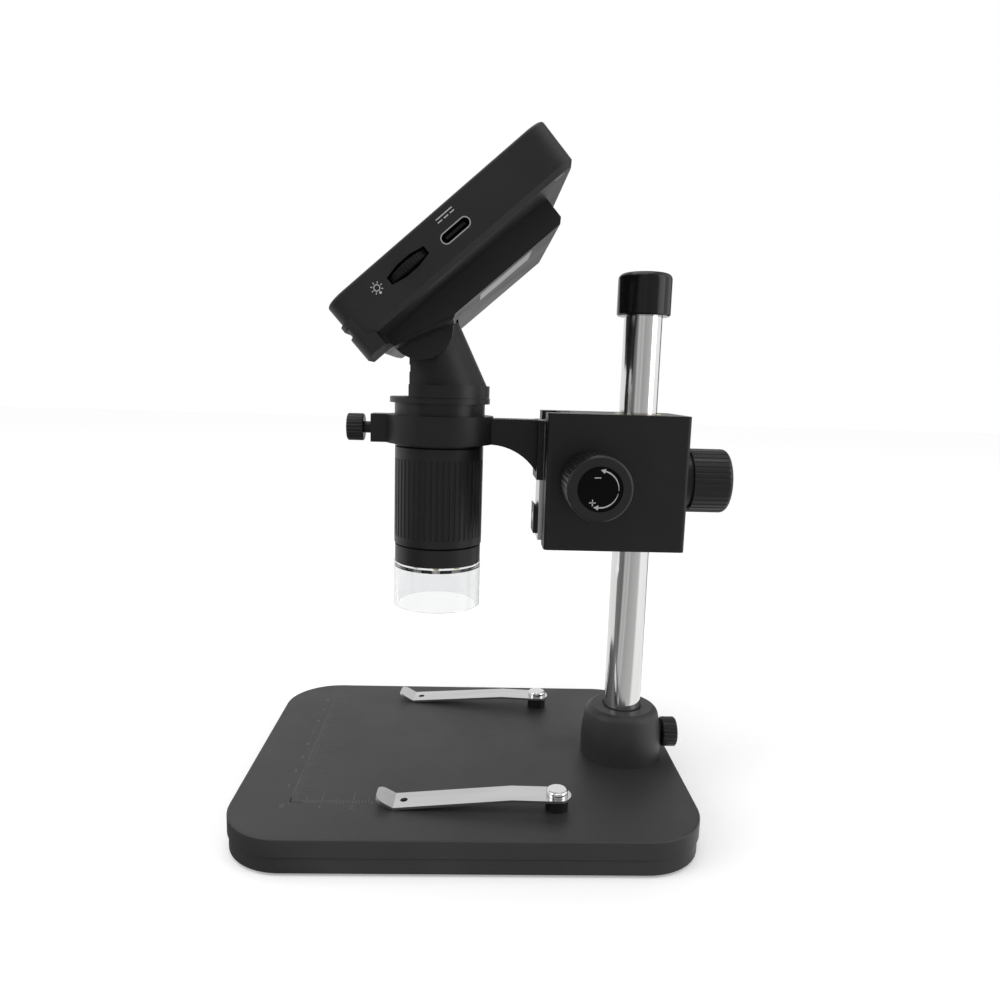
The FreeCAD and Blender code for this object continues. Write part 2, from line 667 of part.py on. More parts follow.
def block_bushes():
    """The bush that runs on the column and the one that closes the pinion's bore."""
    body = new_body("column_bush", kept=False)
    inner = s.column_radius + s.fit
    outer = s.column_radius + s.fit + s.bush_wall
    turned(body, [(inner, 0), (outer, 0), (outer, s.block_height), (inner, s.block_height)])
    rod(body, s.clamp_screw + s.thread_fit, outer + 1, (0, 0, s.clamp_z - s.block_bottom), "X", cut=True,
        name="ClampBore")
    place(body, (s.column_x, 0, s.block_bottom))
    side = new_body("pinion_bush", kept=False)
    inner, outer = s.shaft_radius + s.fit, s.pinion_bush_radius
    start = s.gear_width / 2 + s.seat_gap
    turned(side, [(inner, start), (outer, start), (outer, s.block_half), (inner, s.block_half)])
    place(side, (s.focus_x, 0, s.focus_z), "Y")
    group("block_bushes", [body, side])


def clamp_pieces():
    """The pad against the column, the steel stud and the big moulded knob."""
    face = s.column_radius + s.fit
    behind = face + s.clamp_pad + s.fit
    end = s.clamp_start + s.clamp_collar + s.clamp_knob_length
    depth = s.clamp_knob_length / 2
    pad = new_body("clamp_pad")
    turned(pad, [(0, face), (s.clamp_screw, face), (s.clamp_screw, behind - s.fit), (0, behind - s.fit)])
    stud = new_body("clamp_stud")
    stud_end = s.clamp_start + depth
    turned(stud, [(0, behind), (s.clamp_screw, behind), (s.clamp_screw, stud_end), (0, stud_end)])
    knob = new_body("clamp_knob")
    collar = s.clamp_start + s.clamp_collar
    turned(knob, [
        (s.clamp_screw, s.clamp_start), (s.clamp_collar_radius, s.clamp_start),
        (s.clamp_collar_radius, collar), (s.clamp_knob_radius, collar),
        (s.clamp_knob_radius, end - s.knob_chamfer), (s.clamp_knob_radius - s.knob_chamfer, end, "arc"),
        (0, end), (0, stud_end), (s.clamp_screw, stud_end),
    ])
    flutes(knob, s.clamp_knob_radius + s.flute_radius / 2, s.flute_radius, collar, end, s.flute_count)
    for body in (pad, stud, knob):
        place(body, (s.column_x, 0, s.clamp_z), "X")


def involute(base, radius):
    """The polar angle of an involute of a base circle where it reaches a radius."""
    ratio = max(radius / base, 1.0)
    unrolled = math.sqrt(ratio * ratio - 1)
    return unrolled - math.atan(unrolled)


def pinion_face():
    """The gear's wire: involute flanks, thinned by the backlash, between root and tip circles."""
    module, teeth = number(s.gear_module), int(number(s.gear_teeth))
    pitch = module * teeth / 2
    base = pitch * math.cos(math.radians(number(s.gear_pressure)))
    root, tip = pitch - 1.25 * module, pitch + 0.9 * module
    half = (math.pi * module / 2 - number(s.gear_backlash)) / (2 * pitch) + involute(base, pitch)
    steps = 5
    radii = [max(base, root) + (tip - max(base, root)) * i / steps for i in range(steps + 1)]
    points = []
    for tooth in range(teeth):
        middle = 2 * math.pi * (tooth + 0.5) / teeth
        rising = [(radius, middle - half + involute(base, radius)) for radius in radii]
        falling = [(radius, 2 * middle - angle) for radius, angle in reversed(rising)]
        points += [(root, rising[0][1])] + rising + falling + [(root, falling[-1][1])]
    corners_found = []
    for radius, angle in points:
        corner = Vector(radius * math.cos(angle), radius * math.sin(angle), 0)
        if not corners_found or (corner - corners_found[-1]).Length > 1e-6:
            corners_found.append(corner)
    return Part.Face(Part.makePolygon(corners_found + corners_found[:1]))


def pinion_shaft():
    """The cross shaft with its pinion cut in one piece, along the local Z axis."""
    width, radius = number(s.gear_width), number(s.shaft_radius)
    reach = number(s.focus_knob_start + s.focus_knob_length - s.disc_recess - s.pad_thick)
    gear = pinion_face().extrude(Vector(0, 0, width))
    gear.translate(Vector(0, 0, -width / 2))
    shaft = Part.makeCylinder(radius, 2 * reach, Vector(0, 0, -reach))
    feature = doc.addObject("Part::Feature", "pinion_shaft")
    feature.Shape = gear.fuse(shaft).removeSplitter()
    feature.Label = "pinion_shaft"
    subparts.append(feature)
    place(feature, (s.focus_x, 0, s.focus_z), "-Y")


def focus_knob(axis):
    body = new_body("focus_knob", kept=False)
    start, end = s.focus_knob_start, s.focus_knob_start + s.focus_knob_length
    hub_start = s.block_half + s.recess_gap
    shaft_end = end - s.disc_recess - s.pad_thick
    edge = s.knob_chamfer / 4
    turned(body, [
        (s.shaft_radius, hub_start), (s.knob_hub, hub_start), (s.knob_hub, start),
        (s.focus_knob_radius - edge, start), (s.focus_knob_radius, start + edge),
        (s.focus_knob_radius, end - 2 * edge), (s.focus_knob_radius - 2 * edge, end, "arc"),
        (s.knob_disc + s.fit, end), (s.knob_disc + s.fit, end - s.disc_recess), (0, end - s.disc_recess),
        (0, shaft_end), (s.shaft_radius, shaft_end),
    ])
    flutes(body, s.focus_knob_radius + s.flute_radius / 2, s.flute_radius, start, end - 2 * edge,
           s.flute_count)
    place(body, (s.focus_x, 0, s.focus_z), axis)
    return body


def focus_knobs():
    group("focus_knobs", [focus_knob("-Y"), focus_knob("Y")])


def knob_discs():
    discs = []
    seat = s.focus_knob_start + s.focus_knob_length - s.disc_recess
    for axis in ("Y", "-Y"):
        disc = new_body("disc", kept=False)
        rim = seat + s.knob_disc_thick
        turned(disc, [(0, seat), (s.knob_disc, seat), (s.knob_disc, rim), (0, rim)])
        place(disc, (s.focus_x, 0, s.focus_z), axis)
        discs.append(disc)
    group("knob_discs", discs)


def arm_screw_heights():
    return [s.arm_foot + 1.3 * s.arm_half, s.slide_top - 1.4 * s.arm_half]


def dovetail_slide():
    body = new_body("dovetail_slide")
    face = -s.block_left - s.slide_proud
    prism(body, dovetail(face, slide_back, -s.fit), 0, s.slide_top - s.slide_bottom, name="Slide")
    for height in arm_screw_heights():
        level = height - s.slide_bottom
        rod(body, s.screw_three + s.thread_fit, s.dovetail_depth + s.slide_proud, (face, 0, level), "X",
            cut=True, name="ArmHole")
        rod(body, s.head_three + s.seat_gap, s.head_height + s.seat_gap, (slide_back, 0, level), "-X",
            cut=True, name="HeadSeat")
    for level in rack_screw_levels():
        rod(body, s.screw_two + s.thread_fit, s.dovetail_depth / 2, (slide_back, 0, level), "-X", cut=True,
            name="RackHole")
    stop_level = s.stop_low + s.stop_height / 2
    rod(body, s.screw_two + s.thread_fit, s.dovetail_depth / 2, (face, 0, stop_level), "X", cut=True,
        name="StopHole")
    place(body, (s.column_x, 0, s.slide_bottom))


def slide_stop():
    """The small plate on the slide's lower end that keeps it in the block."""
    body = new_body("slide_stop")
    side = [(-s.stop_thick, 0), (0, 0), (0, s.stop_height - s.stop_thick), (-s.stop_thick, s.stop_height)]
    prism(body, side, -s.arm_half, s.arm_half, "XZ_Plane", name="Plate")
    middle = (-s.stop_thick, 0, s.stop_height / 2)
    rod(body, s.screw_two + s.thread_fit, s.stop_thick, middle, "X", cut=True, name="Hole")
    rod(body, s.head_two + s.seat_gap, s.head_two_height, middle, "X", cut=True, name="HeadSeat")
    place(body, (s.column_x - s.block_left - s.slide_proud, 0, s.slide_bottom + s.stop_low))


def rack_screw_levels():
    length = s.slide_top - s.slide_bottom
    margin = s.dovetail_depth / 2
    return [margin, length - margin]


def gear_rack():
    """Teeth that face the pinion, with a space of the rack opposite each tooth of the pinion."""
    module, pressure = number(s.gear_module), math.radians(number(s.gear_pressure))
    pitch = math.pi * module
    length = number(s.slide_top - s.slide_bottom)
    axis_height = number(s.focus_z - s.slide_bottom)
    back, line = 0.0, number(s.focus_x - pitch_radius - s.column_x - slide_back)
    root, tip = line - 1.25 * module, line + 0.9 * module
    half = pitch / 4 - number(s.gear_backlash) / 4
    slope = math.tan(pressure)
    profile = [(back, 0.0)]
    count = int(length / pitch) + 2
    first = axis_height - pitch * int(axis_height / pitch)
    for i in range(count):
        middle = first + i * pitch
        wide, narrow = half + (line - root) * slope, half - (tip - line) * slope
        if middle - wide > 0 and middle + wide < length:
            profile += [(root, middle - wide), (tip, middle - narrow), (tip, middle + narrow),
                        (root, middle + wide)]
    profile.insert(1, (root, 0.0))
    profile += [(root, length), (back, length)]
    wire = Part.makePolygon([Vector(x, 0, z) for x, z in profile + profile[:1]])
    width = number(s.rack_width)
    solid = Part.Face(wire).extrude(Vector(0, width, 0))
    solid.translate(Vector(0, -width / 2, 0))
    for level in rack_screw_levels():
        hole = Part.makeCylinder(number(s.screw_two + s.thread_fit), tip + 1, Vector(0, 0, number(level)),
                                 Vector(1, 0, 0))
        seat = Part.makeCylinder(number(s.head_two + s.seat_gap), tip + 1,
                                 Vector(number(s.rack_back) / 2, 0, number(level)), Vector(1, 0, 0))
        solid = solid.cut(hole).cut(seat)
    feature = doc.addObject("Part::Feature", "gear_rack")
    feature.Shape = solid
    feature.Label = "gear_rack"
    subparts.append(feature)
    place(feature, (s.column_x + slide_back, 0, s.slide_bottom))


def slide_screws():
    """Two screws that hold the rack and one that holds the stop."""
    x = s.column_x + slide_back + s.rack_back / 2 + s.head_two_height
    screws = [
        screw("rack_screw", s.screw_two, s.rack_back / 2 + s.dovetail_depth / 3, s.head_two,
              s.head_two_height, (x, 0, s.slide_bottom + level), "-X")
        for level in rack_screw_levels()
    ]
    x = s.column_x - s.block_left - s.slide_proud - s.stop_thick
    length = s.stop_thick - s.head_two_height + s.dovetail_depth / 3
    level = s.slide_bottom + s.stop_low + s.stop_height / 2
    screws.append(screw("stop_screw", s.screw_two, length, s.head_two, s.head_two_height, (x, 0, level), "X"))
    group("slide_screws", screws)


def holder_arm():
    """The ring round the barrel, its thumbscrew boss and the arm down to the slide."""
    body = new_body("holder_arm")
    bore = s.barrel_radius + s.fit
    end = s.column_x - s.block_left - s.slide_proud - barrel_center
    side = [
        (bore, s.ring_bottom), (s.arm_curve, s.ring_bottom), (end, s.arm_foot, "arc"), (end, s.arm_top),
        (bore, s.arm_top),
    ]
    prism(body, side, -s.arm_half, s.arm_half, "XZ_Plane", name="Arm")
    saddle_high = s.arm_top - s.arm_foot
    box(body, (s.saddle_thick + s.slide_proud - s.recess_gap, 2 * s.saddle_half, saddle_high),
        (end - s.saddle_thick, -s.saddle_half, s.arm_foot), name="Saddle")
    groove = s.dovetail_face + s.fit
    box(body, (s.slide_proud, 2 * groove, saddle_high), (end, -groove, s.arm_foot), cut=True, name="SlideGroove")
    height = s.ring_top - s.ring_bottom
    rod(body, s.ring_radius, height, (0, 0, s.ring_bottom), name="Ring")
    box(body, (s.ring_boss, 2 * s.arm_half, height), (-s.ring_boss, -s.arm_half, s.ring_bottom), name="Boss")
    dress(body, "Fillet", s.block_edge, lambda edge: along(edge, "z") and edge.CenterOfMass.x < -20,
          name="BossEdges")
    rod(body, bore, height, (0, 0, s.ring_bottom), cut=True, name="Bore")
    rod(body, s.thumb_screw + s.thread_fit, s.ring_boss, (0, 0, s.ring_thumb_z), "-X", cut=True,
        name="ThumbHole")
    for level in arm_screw_heights():
        rod(body, s.screw_three + s.thread_fit, 2 * s.screw_three + s.seat_gap, (end, 0, level), "-X", cut=True,
            name="ArmHole")
    place(body, (barrel_center, 0, 0))


def arm_screws():
    length = 2 * s.screw_three + s.dovetail_depth + s.slide_proud - s.head_height
    x = s.column_x + slide_back - s.seat_gap / 2
    group("arm_screws", [
        screw("arm_screw", s.screw_three, length, s.head_three, s.head_height, (x, 0, level), "-X")
        for level in arm_screw_heights()
    ])


def barrel_tube():
    """The fixed tube: upper body in the ring, flange and collar above, inner tube below."""
    body = new_body("barrel_tube")
    bottom, groove = s.barrel_bottom, s.seat_gap
    flange_top = s.flange_bottom + s.flange_thick
    turned(body, [
        (s.barrel_bore, bottom), (s.barrel_inner, bottom), (s.barrel_inner, s.barrel_body),
        (s.barrel_radius, s.barrel_body), (s.barrel_radius, s.flange_bottom),
        (s.flange_radius, s.flange_bottom), (s.flange_radius, flange_top - groove),
        (s.flange_radius - groove, flange_top), (s.flange_radius - groove, s.collar_top),
        (s.barrel_upper_bore, s.collar_top), (s.barrel_upper_bore, s.barrel_shelf),
        (s.barrel_bore, s.barrel_shelf),
    ])
    flat = s.collar_flat - s.barrel_x
    box(body, (s.flange_radius, 2 * s.flange_radius, s.collar_top - flange_top),
        (-flat - s.flange_radius, -s.flange_radius, flange_top), cut=True, name="Flat")
    slot_low = pin_height() - s.focus_travel / 2 - s.pin_radius - s.seat_gap
    slot_high = s.focus_travel + 2 * s.pin_radius + 2 * s.seat_gap
    box(body, (2 * (s.pin_radius + s.seat_gap), 2 * s.barrel_radius, slot_high),
        (-s.pin_radius - s.seat_gap, -s.barrel_radius, slot_low), cut=True, name="PinSlots")
    place(body, (barrel_center, 0, 0))


def pin_height():
    return s.cell_bottom + s.cell_height - 3 * s.pin_radius


def focus_sleeve():
    """The ribbed ring that is turned by hand to focus."""
    body = new_body("focus_sleeve")
    inner = s.barrel_inner + 2 * s.fit
    top = s.barrel_body - s.seat_gap
    edge = s.rib_groove
    turned(body, [
        (inner, s.sleeve_bottom), (s.sleeve_radius - edge, s.sleeve_bottom),
        (s.sleeve_radius, s.sleeve_bottom + edge), (s.sleeve_radius, top - edge),
        (s.sleeve_radius - edge, top), (inner, top),
    ])
    flutes(body, s.sleeve_radius + s.rib_groove / 3, s.rib_groove, s.sleeve_rib_low, s.sleeve_rib_high,
           s.rib_count, "Groove")
    place(body, (barrel_center, 0, 0))


def lower_ring():
    body = new_body("lower_ring")
    top = s.sleeve_bottom - 1.5 * s.seat_gap
    joint = s.hood_radius - s.hood_wall + s.fit
    turned(body, [
        (joint, s.lower_ring_bottom), (s.lower_ring_radius, s.lower_ring_bottom),
        (s.lower_ring_radius, top), (s.barrel_inner + s.fit, top), (s.barrel_inner + s.fit, s.barrel_bottom),
        (joint, s.barrel_bottom),
    ])
    place(body, (barrel_center, 0, 0))


def clear_hood():
    """The clear skirt that lets light in and stands on the specimen."""
    body = new_body("clear_hood")
    inner = s.hood_radius - s.hood_wall
    shoulder = s.lower_ring_bottom - s.fit
    spigot = inner - s.hood_spigot
    turned(body, [
        (inner, s.hood_bottom), (s.hood_radius, s.hood_bottom), (s.hood_radius, shoulder), (inner, shoulder),
        (inner, s.barrel_bottom - s.fit), (spigot, s.barrel_bottom - s.fit),
        (spigot, shoulder - s.hood_spigot), (inner, shoulder - 2 * s.hood_spigot),
    ])
    place(body, (barrel_center, 0, 0))


def light_ring():
    """The ring board under the tube and its LEDs round the lens."""
    board = new_body("led_board", kept=False)
    outer = s.hood_radius - s.hood_wall - s.hood_spigot - s.seat_gap
    low = s.barrel_bottom - s.board_thick
    top = s.barrel_bottom
    turned(board, [(s.board_hole, low), (outer, low), (outer, top), (s.board_hole, top)])
    place(board, (barrel_center, 0, 0))
    lamps = []
    for i in range(int(number(s.led_count))):
        angle = i * 360 / s.led_count
        lamp = new_body("led", kept=False)
        base = s.led_radius * 1.2
        turned(lamp, [
            (0, 0), (base, 0), (base, s.led_radius / 3), (s.led_radius, s.led_radius / 3),
            (s.led_radius, s.led_radius), (0, 2 * s.led_radius, "arc"),
        ])
        place(lamp, (barrel_center + s.led_ring * cosine(angle), s.led_ring * sine(angle), low), "-Z")
        lamps.append(lamp)
    group("light_ring", [board] + lamps)


def lens_group():
    """The sliding lens cell, its glass and the two pins that the sleeve drives."""
    cell = new_body("lens_cell")
    outer = s.barrel_bore - s.fit
    seat = s.cell_bottom + s.lens_height
    wide = s.cell_bore + s.hood_wall
    turned(cell, [
        (wide, s.cell_bottom), (outer, s.cell_bottom), (outer, s.cell_bottom + s.cell_height),
        (wide, s.cell_bottom + s.cell_height), (s.cell_bore, s.cell_bottom + s.cell_height - s.hood_wall),
        (s.cell_bore, seat), (wide, seat),
    ])
    for axis in ("Y", "-Y"):
        rod(cell, s.pin_radius + s.fit / 2, outer, (0, 0, pin_height()), axis, cut=True, name="PinHole")
    place(cell, (barrel_center, 0, 0))
    lens = new_body("objective_lens")
    glass = wide - s.fit
    turned(lens, [
        (0, s.cell_bottom), (s.hood_wall, s.cell_bottom), (glass, s.cell_bottom + s.hood_wall, "arc"),
        (glass, seat), (0, seat),
    ])
    place(lens, (barrel_center, 0, 0))
    pins = []
    for axis in ("Y", "-Y"):
        pin = new_body("pin", kept=False)
        start = s.cell_bore + s.hood_wall
        rod(pin, s.pin_radius, s.barrel_inner - start, (0, 0, start), name="Pin")
        place(pin, (barrel_center, 0, pin_height()), axis)
        pins.append(pin)
    group("focus_pins", pins)


def camera_board():
    """The round board on the tube's shelf with the image sensor under it."""
    board = new_body("sensor_board", kept=False)
    radius = s.barrel_upper_bore - s.fit
    low = s.barrel_shelf
    turned(board, [(0, low), (radius, low), (radius, low + s.board_thick), (0, low + s.board_thick)])
    place(board, (barrel_center, 0, 0))
    chip = new_body("image_sensor", kept=False)
    side = s.cell_bore * 1.6
    box(chip, (side, side, s.board_thick), (-side / 2, -side / 2, low - s.board_thick), name="Chip")
    place(chip, (barrel_center, 0, 0))
    group("camera_board", [board, chip])


def neck_shell(label, side):
    """Half of the neck: an oblique cone cut flat at the front, with the hinge knuckle on top."""
    body = new_body(label)
    height = s.hinge_z - s.collar_top
    shift = barrel_center - hinge_x
    lean = arctangent(shift / height)
    spare = s.neck_radius / 2
    cone = body.newObject("PartDesign::AdditiveCone", "Cone")
    place(cone, (shift + spare * sine(lean), 0, -height - spare * cosine(lean)),
          angle=(Vector(0, -1, 0), lean))
    growth = (s.neck_radius - s.neck_top_radius) * spare / height
    bind(cone, Radius1=s.neck_radius + growth, Radius2=s.neck_top_radius - growth,
         Height=height / cosine(lean) + 2 * spare)
    wide = 4 * s.neck_radius
    for name, u, n in (("TopTrim", -wide / 2, s.neck_top), ("NotchTrim", s.notch_high - s.neck_gap, -wide / 2)):
        trim = box(body, (wide, wide, wide), cut=True, name=name)
        place(trim, tilted(u, -wide / 2, n), angle=display_turn())
    box(body, (wide, wide, wide), (-wide / 2, -wide / 2, -height - wide), cut=True, name="BottomTrim")
    spigot = s.barrel_upper_bore - s.fit
    rod(body, spigot, s.spigot_height + 1, (shift, 0, -height - s.spigot_height), name="Spigot")
    flat = s.collar_flat - s.hinge_x
    box(body, (wide, wide, 2 * wide), (-flat - wide, -wide / 2, -wide), cut=True, name="Flat")
    rod(body, s.knuckle_radius, 2 * s.knuckle_half, (0, -s.knuckle_half, 0), "Y", name="Knuckle")
    for y, axis in ((s.knuckle_half, "Y"), (-s.knuckle_half, "-Y")):
        rod(body, s.ear_radius + s.recess_gap, s.neck_radius, (0, y, 0), axis, cut=True, name="EarPocket")
    rod(body, s.neck_hollow, s.neck_hollow_height + s.spigot_height, (shift, 0, -height - s.spigot_height),
        cut=True, name="Hollow")
    rod(body, s.hinge_pin + s.fit / 2, 2 * s.knuckle_half, (0, -s.knuckle_half, 0), "Y", cut=True,
        name="PinBore")
    start = -flat
    for y in (s.neck_screw_y, -s.neck_screw_y):
        level = s.neck_screw_z - s.hinge_z
        rod(body, s.screw_two + s.thread_fit, wide / 4, (start, y, level), "X", cut=True, name="ScrewHole")
        rod(body, s.head_two + s.seat_gap, 2 * s.head_two_height, (start, y, level), "X", cut=True,
            name="HeadSeat")
    seam = shift - s.seam_shift
    cut_from = seam if side == "front" else seam - wide
    box(body, (wide, wide, wide), (cut_from, -wide / 2, -wide / 2), cut=True, name="Split")
    place(body, (hinge_x, 0, s.hinge_z))


def neck_screws():
    x = s.head_two_height - s.collar_flat
    group("neck_screws", [
        screw("neck_screw", s.screw_two, s.neck_screw_y + 2 * s.screw_two, s.head_two, s.head_two_height,
              (x, y, s.neck_screw_z), "X")
        for y in (s.neck_screw_y, -s.neck_screw_y)
    ])


def hinge_pin():
    body = new_body("hinge_pin")
    half = s.ear_outer - s.seat_gap
    rod(body, s.hinge_pin, 2 * half, name="Pin")
    place(body, (hinge_x, half, s.hinge_z), "-Y")


def slab_center():
    """Middle of the display slab along u."""
    return (s.display_high - s.display_low) / 2


def slab_height():
    return s.display_high + s.display_low


def display_turn():
    return Vector(0, -1, 0), s.tilt


def place_in_display(body):
    """A body drawn in display coordinates, with its origin on the hinge."""
    place(body, (hinge_x, 0, s.hinge_z), angle=display_turn())


def display_screw_points():
    edge = s.display_half - 2 * s.display_wall - s.head_two / 2
    low, high = s.display_corner / 2 + s.display_wall - s.display_low, s.display_high - 3 * s.display_wall
    return [(low, edge), (high, edge), (low, -edge), (high, -edge)]


def display_back_shell():
    body = new_body("display_back_shell")
    rim = s.display_front - s.rim_drop
    center = (slab_center(), 0)
    slab(body, slab_height(), 2 * s.display_half, s.display_corner, s.display_back, rim, center, name="Slab")
    dress(body, "Chamfer", s.display_chamfer, lambda edge: at_height(edge, s.display_back), name="BackEdge")
    dress(body, "Fillet", s.rim_round, lambda edge: at_height(edge, rim), name="RimEdge")
    side = [
        (-s.bulge_toe, s.display_back + 1), (-s.ear_radius, 0), (s.bulge_heel, -s.bulge_depth),
        (s.bulge_high - s.display_chamfer, -s.bulge_depth),
        (s.bulge_high, s.display_chamfer - s.bulge_depth), (s.bulge_high, s.display_back + 1),
    ]
    prism(body, side, -s.bulge_half, s.bulge_half, "XZ_Plane", name="Bulge")
    ridge, inset = s.heel_ridge, s.bulge_half - s.heel_ridge
    heel = [
        (ridge - s.ear_radius, ridge), (ridge / 2 - s.ear_radius, -ridge),
        (s.bulge_heel - ridge, -s.bulge_depth - ridge * 3 / 4), (s.bulge_heel + ridge, ridge / 4 - s.bulge_depth),
    ]
    prism(body, heel, -inset, inset, "XZ_Plane", name="HeelRidge")
    for y in (s.ear_inner, -s.ear_outer):
        rod(body, s.ear_radius, s.ear_outer - s.ear_inner, (0, y, 0), "Y", name="Ear")
    inner = 2 * s.display_wall
    slab(body, slab_height() - inner, 2 * s.display_half - inner, s.display_corner - s.display_wall,
         shell_inside, rim, center, cut=True, name="Cavity")
    bay_low, bay_high = s.notch_high + 2 * s.display_wall, s.bulge_high - 2 * s.display_wall
    bay_half, bay_floor = s.bulge_half - s.display_floor, s.display_floor - s.bulge_depth
    box(body, (bay_high - bay_low, 2 * bay_half, s.bulge_depth + s.display_front / 2),
        (bay_low, -bay_half, bay_floor), cut=True, name="BatteryBay")
    recess = s.knuckle_radius + s.recess_gap
    cradle = recess + s.display_wall
    box(body, (2 * cradle, 2 * (s.ear_inner + s.display_wall), cradle - shell_inside + 1),
        (-cradle, -s.ear_inner - s.display_wall, shell_inside - 1), name="Cradle")
    rod(body, recess, 2 * s.ear_inner, (0, -s.ear_inner, 0), "Y", cut=True, name="KnuckleRecess")
    box(body, (s.notch_high + s.display_low, 2 * s.ear_inner, s.ear_radius + s.display_back),
        (-s.display_low, -s.ear_inner, -s.ear_radius), cut=True, name="NeckNotch")
    rod(body, s.hinge_pin + s.fit, 2 * s.ear_outer, (0, -s.ear_outer, 0), "Y", cut=True, name="PinHole")
    for u, y in display_screw_points():
        post = s.board_low - shell_inside
        rod(body, s.head_two, post, (u, y, shell_inside), name="ScrewPost")
        rod(body, s.screw_two + s.thread_fit, s.board_low - s.display_back, (u, y, s.display_back), cut=True,
            name="ScrewHole")
        rod(body, s.head_two + s.seat_gap, s.head_two_height, (u, y, s.display_back), cut=True,
            name="HeadSeat")
    for u, y in board_points():
        rod(body, s.head_two, s.board_low - shell_inside, (u, y, shell_inside), name="BoardPost")
        rod(body, s.screw_two + s.thread_fit, s.board_low - shell_inside, (u, y, shell_inside), cut=True,
            name="BoardHole")
    side_face = -s.display_half
    prism(body, dimmer_opening(), s.display_half - s.display_wall, s.display_half + 1, "XZ_Plane", cut=True,
          name="DimmerSlot")
    oval(body, s.usb_width + 2 * s.fit, s.usb_high + 2 * s.fit, s.display_wall + 1,
         (s.usb_u, side_face - 1, s.usb_n), cut=True, name="UsbHole")
    box(body, (s.display_wall + 1, s.card_width, s.card_high),
        (-s.display_low - 1, -s.card_y - s.card_width / 2, s.card_low), cut=True, name="CardSlot")
    place_in_display(body)


def dimmer_opening():
    """The eye-shaped opening for the dimmer wheel, in u and n."""
    u, n = s.dimmer_u, s.dimmer_low + s.dimmer_thick / 2
    far, near = s.dimmer_slot / 2, s.dimmer_slot / 6
    thin, wide = s.dimmer_slot_end / 2, s.dimmer_slot_middle / 2
    return [
        (u - far, n - thin), (u - near, n - wide), (u + near, n - wide), (u + far, n - thin),
        (u + far, n + thin), (u + near, n + wide), (u - near, n + wide), (u - far, n + thin),
    ]


def board_points():
    """Posts under the main board: u and y."""
    left = s.display_wall + s.head_two - s.display_half + 2
    right = -s.ear_outer - s.head_two
    high = s.bulge_high - 3 * s.head_two
    return [(s.usb_u + s.usb_width, left), (high, right), (high, left)]


def display_bezel():
    """The front frame with the window, the button holes and the posts for the screws."""
    body = new_body("display_bezel")
    inset = 2 * bezel_inset
    center = (slab_center(), 0)
    slab(body, slab_height() - inset, 2 * s.display_half - inset, s.display_corner - bezel_inset, bezel_back,
         s.display_front, center, name="Frame")
    border = s.glass_border
    slab(body, s.window_high, s.window_wide, 1, bezel_back, s.display_front, (s.screen_u, s.screen_y),
         cut=True, name="Window")
    slab(body, s.window_high + border, s.window_wide + 2 * border, 1, s.display_front - s.glass_thick,
         s.display_front, (s.screen_u, s.screen_y), cut=True, name="GlassSeat")
    for u in button_heights():
        rod(body, s.button_radius + 2 * s.fit, s.bezel_thick, (u, -s.button_y, bezel_back), cut=True,
            name="ButtonHole")
    for u, y in display_screw_points():
        rod(body, s.head_two, bezel_back - s.board_low - s.fit, (u, y, s.board_low + s.fit), name="Post")
        rod(body, s.screw_two + s.thread_fit, s.bezel_thick * 3, (u, y, s.board_low), cut=True,
            name="PostHole")
    place_in_display(body)


def button_heights():
    return [i * s.button_pitch - s.button_low for i in range(int(number(s.button_count)))]


def display_screws():
    """Four screws from the back into the bezel and three on the main board."""
    length = s.board_low - s.display_back - s.head_two_height + 2 * s.bezel_thick
    screws = []
    for u, y in display_screw_points():
        body = screw("display_screw", s.screw_two, length, s.head_two, s.head_two_height, (0, 0, 0), "Z")
        place(body, in_display(u, y, s.display_back), angle=display_turn())
        screws.append(body)
    for u, y in board_points():
        body = new_body("board_screw", kept=False)
        low = -s.mainboard_thick - s.screw_two
        turned(body, [
            (0, low), (s.screw_two, low), (s.screw_two, 0), (s.head_two, 0), (s.head_two, s.head_two_height),
            (0, s.head_two_height),
        ])
        place(body, in_display(u, y, board_top), angle=display_turn())
        screws.append(body)
    group("display_screws", screws)


def screen_stack():
    glass = new_body("screen_glass")
    border = s.glass_border
    gap = 2 * s.bezel_gap
    slab(glass, s.window_high + border - gap, s.window_wide + 2 * border - gap, 1 - s.bezel_gap,
         s.display_front - s.glass_thick, s.display_front, (s.screen_u, s.screen_y), name="Glass")
    place_in_display(glass)
    panel = new_body("lcd_panel")
    left, low = s.screen_y - s.panel_wide / 2, s.screen_u - s.panel_high / 2
    box(panel, (s.panel_high, s.panel_wide, s.panel_thick), (low, left, bezel_back - s.panel_thick),
        name="Panel")
    place_in_display(panel)


